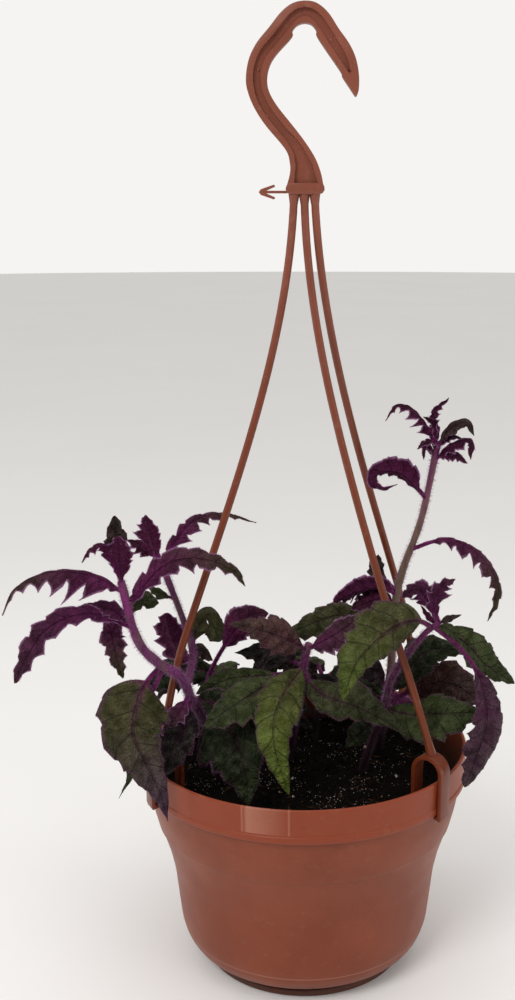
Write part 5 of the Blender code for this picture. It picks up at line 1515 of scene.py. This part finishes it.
def grain_tree():
    tree = new_tree("scattered grains", [
        ("Grains per square mm", "Float", 0.2), ("Size", "Float", 0.001), ("Flatness", "Float", 0.8),
        ("Length", "Float", 1.0), ("Segments", "Int", 6), ("Rings", "Int", 4), ("Tumble", "Float", 3.0),
        ("Bareness", "Float", 0.0), ("Seed", "Int", 1)])
    given = add(tree, "NodeGroupInput").outputs
    # Grains lie on the lid alone: high up, on faces that look upwards
    up = add(tree, "ShaderNodeSeparateXYZ", {0: add(tree, "GeometryNodeInputNormal")}).outputs[2]
    place = add(tree, "GeometryNodeInputPosition")
    height = add(tree, "ShaderNodeSeparateXYZ", {0: place}).outputs[2]
    high = add(tree, "ShaderNodeMath", {0: height, 1: (SOIL_TOP - LID_DEPTH) * MM},
               operation="GREATER_THAN")
    lid = add(tree, "ShaderNodeMath", {0: up, 1: high}, operation="MULTIPLY")
    lid = add(tree, "ShaderNodeMath", {0: lid, 1: FACING_UP}, operation="GREATER_THAN")
    # They lie in drifts some 14 mm across, with bare soil between them
    drift = add(tree, "ShaderNodeTexNoise", {"Vector": place, "Scale": 1 / (DRIFT * MM), "Detail": 1.0})
    most = add(tree, "ShaderNodeMath", {0: given["Bareness"], 1: DRIFT_EDGE}, operation="ADD")
    drift = add(tree, "ShaderNodeMapRange", {"Value": drift, "From Min": given["Bareness"],
                                             "From Max": most})
    dense = add(tree, "ShaderNodeMath", {0: given["Grains per square mm"], 1: PER_SQUARE_MM},
                operation="MULTIPLY")
    dense = add(tree, "ShaderNodeMath", {0: dense, 1: drift}, operation="MULTIPLY")
    points = add(tree, "GeometryNodeDistributePointsOnFaces", {
        "Mesh": given["Geometry"], "Selection": lid, "Density": dense, "Seed": given["Seed"]})
    # One lumpy grain, a millimetre across before it is sized
    ball = add(tree, "GeometryNodeMeshUVSphere", {"Segments": given["Segments"], "Rings": given["Rings"],
                                                  "Radius": 0.5})
    shape = add(tree, "ShaderNodeCombineXYZ", {0: given["Length"], 1: 1.0, 2: given["Flatness"]})
    slim = add(tree, "GeometryNodeTransform", {"Geometry": ball, "Scale": shape})
    bumpy = add(tree, "ShaderNodeTexNoise", {"Vector": add(tree, "GeometryNodeInputPosition"),
                                             "Scale": LUMPS_IN_A_GRAIN, "Detail": 1.0})
    shift = add(tree, "ShaderNodeVectorMath", {0: bumpy.outputs["Color"], 1: (0.5, 0.5, 0.5)},
                operation="SUBTRACT")
    shift = add(tree, "ShaderNodeVectorMath", {0: shift, "Scale": LUMP_HEIGHT}, operation="SCALE")
    rough = add(tree, "GeometryNodeSetPosition", {"Geometry": slim, "Offset": shift})
    # Each one is turned and sized by chance
    lean = add(tree, "ShaderNodeCombineXYZ", {0: given["Tumble"], 1: given["Tumble"], 2: FULL_TURN})
    back = add(tree, "ShaderNodeVectorMath", {0: lean, "Scale": -1.0}, operation="SCALE")
    turn = add(tree, "FunctionNodeRandomValue", {"Min": back, "Max": lean, "Seed": given["Seed"]},
               data_type="FLOAT_VECTOR")
    size = add(tree, "FunctionNodeRandomValue", {2: SMALLEST, 3: LARGEST, "Seed": given["Seed"]},
               data_type="FLOAT")
    size = add(tree, "ShaderNodeMath", {0: size, 1: given["Size"]}, operation="MULTIPLY")
    placed = add(tree, "GeometryNodeInstanceOnPoints", {
        "Points": points, "Instance": rough, "Rotation": turn, "Scale": size})
    return end_tree(tree, placed, given["Finish"])


GRAIN_TREE = grain_tree()

# %% [markdown]
# The same tree makes all four kinds of grain. Crumbs lie nearly everywhere, perlite only in drifts, with
# a dust of small bits beside the large ones, and the fibres lie flat.

# %% Scatter the grains
GRAINS = [
    # name, per mm2, size, flatness, length, segments, rings, tumble, bareness, seed, finish
    ("soil_crumbs", 0.20, 1.7, 0.7, 1.2, 6, 4, 3.0, 0.0, 3, crumb_finish),
    ("soil_perlite", 0.0028, 1.5, 0.7, 1.2, 8, 5, 3.0, 0.42, 8, perlite),
    ("soil_perlite_dust", 0.20, 0.5, 0.8, 1.2, 5, 3, 3.0, 0.48, 9, perlite),
    ("soil_fibres", 0.03, 0.4, 1.0, 16.0, 4, 6, 0.25, 0.45, 5, fibre_finish),
]
for name, often, size, flat, long, segments, rings, tumble, bare, seed, finish in GRAINS:
    mesh = grown(name, soil_mesh.copy(), GRAIN_TREE, {
        "Grains per square mm": often, "Size": size * MM, "Flatness": flat, "Length": long,
        "Segments": segments, "Rings": rings, "Tumble": tumble, "Bareness": bare, "Seed": seed,
        "Finish": finish})
    piece = new_piece(name, mesh)
    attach(piece, "root")
    print(name, "triangles:", count_triangles(mesh))

# %% [markdown]
# The hanger is one moulding: a flat hook with a sunk channel on both faces, a small arrow at its foot,
# three springy strands and three clips that grip the rim. The hook and the clips are flat outlines
# given a thickness, with a fine bevel, and the strands come from the same tree as the stems.

# %% Outlines of the hook and its channel
HOOK_THICKNESS, HOOK_WEB = 5.6, 1.5
HOOK_OUTER = [(-8.0, 378.0), (-6.5, 383.5), (-6.5, 388.0), (-8.5, 394.0), (-17.0, 404.0),
              (-21.5, 410.5), (-24.5, 417.0), (-25.8, 423.5), (-24.5, 432.0), (-21.0, 439.0),
              (-15.5, 445.5), (-10.0, 452.0), (-5.0, 455.5), (0.5, 456.5), (5.5, 455.5),
              (10.5, 451.5), (15.0, 445.0), (19.5, 439.0), (22.5, 433.0), (24.0, 426.0),
              (24.0, 419.5), (23.0, 416.5)]
HOOK_INNER = [(22.3, 416.8), (16.8, 424.8), (16.0, 427.0), (6.0, 441.0), (5.3, 444.0),
              (3.3, 446.5), (0.0, 447.3), (-3.2, 446.3), (-5.3, 444.0), (-5.5, 441.5),
              (-12.5, 434.0), (-15.5, 429.0), (-16.5, 423.5), (-15.5, 418.5), (-12.0, 412.5),
              (-5.0, 404.0), (0.5, 397.0), (5.0, 390.0), (7.5, 383.5), (8.6, 378.0)]
CHANNEL = [
    # x, z, half width of the sunk channel
    (0.7, 378.8, 5.5), (0.2, 383.0, 4.6), (-0.1, 386.4, 4.0), (-1.2, 389.9, 3.1), (-2.7, 393.5, 2.5),
    (-6.1, 398.3, 2.0), (-8.9, 401.3, 1.8), (-12.5, 405.6, 1.7), (-16.4, 410.7, 1.8),
    (-19.1, 415.7, 1.8), (-20.6, 420.7, 1.7), (-20.8, 427.2, 1.7), (-18.2, 434.4, 1.8),
    (-12.8, 440.6, 1.9), (-7.8, 446.5, 1.9), (-4.3, 450.3, 1.9), (0.2, 452.0, 1.9), (4.6, 450.3, 1.9),
    (8.3, 446.0, 1.9), (12.4, 439.8, 1.9), (16.6, 433.6, 1.7), (20.2, 426.6, 0.6)]
MOULD_DOTS = [(0.1, 449.0), (-12.3, 441.6), (11.8, 440.2), (-20.4, 427.9), (-16.2, 408.0)]
PIN_MARK, PIN_RADIUS, PIN_DEPTH = (19.4, 427.2), 0.7, 0.6


def channel_outline():
    """The sunk channel: a band along its middle line that narrows to the point of the hook."""
    route = smooth_route(CHANNEL, 70)
    line, half = route[:, :2], route[:, 2:]
    along = np.gradient(line, axis=0)
    along /= np.linalg.norm(along, axis=1)[:, None]
    across = np.stack([-along[:, 1], along[:, 0]], axis=1)
    return list(line + across * half) + list((line - across * half)[::-1])


def circle_outline(centre, radius, count):
    turns = np.linspace(0, 2 * np.pi, count, endpoint=False)
    return [(centre[0] + radius * math.cos(a), centre[1] + radius * math.sin(a)) for a in turns]


print("points in the channel's outline:", len(channel_outline()))

# %% [markdown]
# Each strand bows out from the hook's foot and comes down steeply at the rim, as a springy plastic does
# between two fixed ends. A formula with a few terms gives all three the same bow, and the table turns
# each one to its side. The clips are upside-down U shapes with a hook at the outer foot.

# %% Routes of the strands and the outline of a clip
STRAND_FOOT = 124.0
STRAND_APART, STRAND_REACH, LAST_INWARD = 4.7, 79.5, 5.5
CLIP_TOP, CLIP_THICKNESS, CLIP_OPENING, CLIP_HEEL, CLIP_WIDTH = 123.5, 2.0, 12.6, 99.0, 7.6
STRANDS = [
    {"azimuth": 207.3, "clip": 207.3, "side": -1, "bulge": 1.5},
    {"azimuth": -44.0, "clip": -38.0, "side": 0, "bulge": 0.0},
    {"azimuth": 38.6, "clip": 38.6, "side": 1, "bulge": 2.2},
]


def clip_outline():
    """The rim clip as an upside-down U in radius and height, with a hooked outer foot."""
    outer = RIM_RADIUS + 0.3 + CLIP_THICKNESS
    inner = outer - CLIP_OPENING - 2 * CLIP_THICKNESS
    middle, radius = (outer + inner) / 2, (outer - inner) / 2
    spring = CLIP_TOP - radius
    over, under = ([(middle + size * math.cos(a), spring + size * math.sin(a)) for a in turns]
                   for size, turns in ((radius, np.linspace(0, math.pi, 25)),
                                       (radius - CLIP_THICKNESS, np.linspace(math.pi, 0, 21))))
    nub = RIM_RADIUS - 1.6
    foot = [(outer - CLIP_THICKNESS, CLIP_FOOT + 1.4), (nub, CLIP_FOOT + 1.4), (nub, CLIP_FOOT),
            (outer - 0.5, CLIP_FOOT - 0.8), (outer, CLIP_FOOT + 1.0)]
    return over + [(inner, CLIP_HEEL), (inner + CLIP_THICKNESS, CLIP_HEEL)] + under + foot


def strand_route(strand, count=40):
    """The strand's bow, from inside the hook's foot to inside the arch of its rim clip."""
    side = strand["side"]
    route = [(side * STRAND_APART, 0.0, STRAND_TOP + 3.0)]
    for t in np.linspace(0.0, 1.0, count):
        last = max(0.0, (t - 0.8) / 0.2)
        reach = STRAND_REACH * (0.09 * t + 1.67 * t**2 - 0.76 * t**3) - LAST_INWARD * last**1.5
        angle = math.radians(strand["azimuth"] + (strand["clip"] - strand["azimuth"]) * last)
        spread = (STRAND_APART + strand["bulge"] * 4 * t * (1 - t)) * math.sqrt(1 - t)
        route.append((reach * math.cos(angle) + side * spread, reach * math.sin(angle),
                      STRAND_TOP + (STRAND_FOOT - STRAND_TOP) * t))
    route.append((route[-1][0], route[-1][1], CLIP_TOP - 1.2))
    return route


print("strands:", len(STRANDS))

# %% [markdown]
# A flat part is an outline filled with one face and extruded, and a fine bevel takes the sharpness from
# its edges. The channel and the blind pin mark are sunk into both faces of the hook by Booleans, which
# cut a clean pocket where moving vertices would leave a slope.

# %% Plates, and the hook with its channel


def plate(name, outline, thickness, bevel=0.0):
    """A flat outline in the XZ plane with a thickness along Y, its edges bevelled."""
    shape = bmesh.new()
    face = shape.faces.new([shape.verts.new((x * MM, -thickness / 2 * MM, z * MM)) for x, z in outline])
    for item in bmesh.ops.extrude_face_region(shape, geom=[face])["geom"]:
        if isinstance(item, bmesh.types.BMVert):
            item.co.y += thickness * MM
    bmesh.ops.recalc_face_normals(shape, faces=shape.faces)
    if bevel:
        rims = [edge for edge in shape.edges if len({vert.co.y > 0 for vert in edge.verts}) == 1]
        bmesh.ops.bevel(shape, geom=rims, offset=bevel * MM, segments=2, profile=0.6, affect="EDGES",
                        clamp_overlap=True)
    mesh = bpy.data.meshes.new(name)
    shape.to_mesh(mesh)
    shape.free()
    return mesh


def cut(piece, cutter_mesh, away):
    """One applied Boolean difference, with the cutter moved away along Y by a distance in mm."""
    for vertex in cutter_mesh.vertices:
        vertex.co.y += away * MM
    cutter = new_piece("cutter", cutter_mesh)
    modifier = piece.modifiers.new("cut", "BOOLEAN")
    modifier.operation, modifier.solver, modifier.object = "DIFFERENCE", "EXACT", cutter
    mesh = real_mesh(piece)
    piece.modifiers.remove(modifier)
    piece.data = mesh
    bpy.data.objects.remove(cutter, do_unlink=True)


hook_outline = list(smooth_route(HOOK_OUTER, 110)) + list(smooth_route(HOOK_INNER, 110))
hook = new_piece("hook", plate("hook", hook_outline, HOOK_THICKNESS, 0.5))
for side in (-1, 1):
    cut(hook, plate("channel", channel_outline(), HOOK_THICKNESS), side * (HOOK_WEB + HOOK_THICKNESS) / 2)
    pin = plate("pin", circle_outline(PIN_MARK, PIN_RADIUS, 16), HOOK_WEB)
    cut(hook, pin, side * (HOOK_WEB - PIN_DEPTH))
print("hook triangles:", count_triangles(hook.data))

# %% [markdown]
# The rest of the moulding is added to the hook. Real mouldings are one body, but here the parts only
# overlap, as a union of so many thin ones would take long and show no difference.

# %% The whole hanger
BASE = [(-6.4, 374.5), (6.9, 374.5), (8.3, 375.1), (9.1, 376.4), (9.0, 377.8), (8.2, 379.6),
        (-7.0, 379.6), (-8.1, 378.2), (-8.5, 376.8), (-7.8, 375.3)]
SHAFT = [(-19.0, 374.9), (-19.0, 376.1), (-7.5, 376.1), (-7.5, 374.9)]
BARB = [(-20.6, 375.5), (-19.6, 376.8), (-13.6, 378.8), (-13.2, 377.8), (-17.6, 375.9), (-17.6, 375.1),
        (-13.2, 373.2), (-13.6, 372.2), (-19.6, 374.2)]


def round_strand(name, line, first, last):
    """A round length of plastic along a line, from one radius to another."""
    return grown(name, route_curve(name, line), STEM_TREE, {
        "Foot radius": first * MM, "Tip radius": last * MM, "Sides": 16, "Finish": hanger_plastic})


parts = [taken(hook), plate("base", BASE, 6.0, 0.7), plate("shaft", SHAFT, 2.0, 0.2),
         plate("barb", BARB, 2.4, 0.2)]
for number, strand in enumerate(STRANDS):
    # A strand grows thicker where it leaves the hook's foot and where it meets its clip
    line = strand_route(strand, 80)
    parts += [round_strand(f"strand_{number}", strand_route(strand), 1.8, 1.75),
              round_strand("top", line[:3], 2.7, 1.8), round_strand("foot", line[-4:], 1.75, 2.5)]
    clip = plate("clip", clip_outline(), CLIP_WIDTH, 0.35)
    c, s = math.cos(math.radians(strand["clip"])), math.sin(math.radians(strand["clip"]))
    for vertex in clip.vertices:
        x, y = vertex.co.x, vertex.co.y
        vertex.co.x, vertex.co.y = c * x - s * y, s * x + c * y
    parts.append(clip)
for side in (-1, 1):
    dots = [(x, side * HOOK_WEB / 2, z) for x, z in MOULD_DOTS]
    parts.append(grown("dots", route_curve("dots", dots), DOT_TREE, {
        "Radius": 0.9 * MM, "Height": 0.3 * MM, "Finish": hanger_plastic}))
for mesh in parts:
    mesh.materials.clear()
    mesh.materials.append(hanger_plastic)
hanger = joined("hanger_moulding", parts)
hanger.data.shade_smooth()
hanger.data.set_sharp_from_angle(angle=math.radians(38))
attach(hanger, "root")
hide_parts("hanger")
print("hanger triangles:", count_triangles(hanger.data))

# %% [markdown]
# Last, the triangles of all shown pieces but the floor are counted. The visual model has to stay
# inside the box of the solid model.

# %% Triangles in all
total = sum(count_triangles(item.data) for item in bpy.data.objects
            if item.type == "MESH" and not item.hide_render and item is not floor)
print("triangles in all:", total)
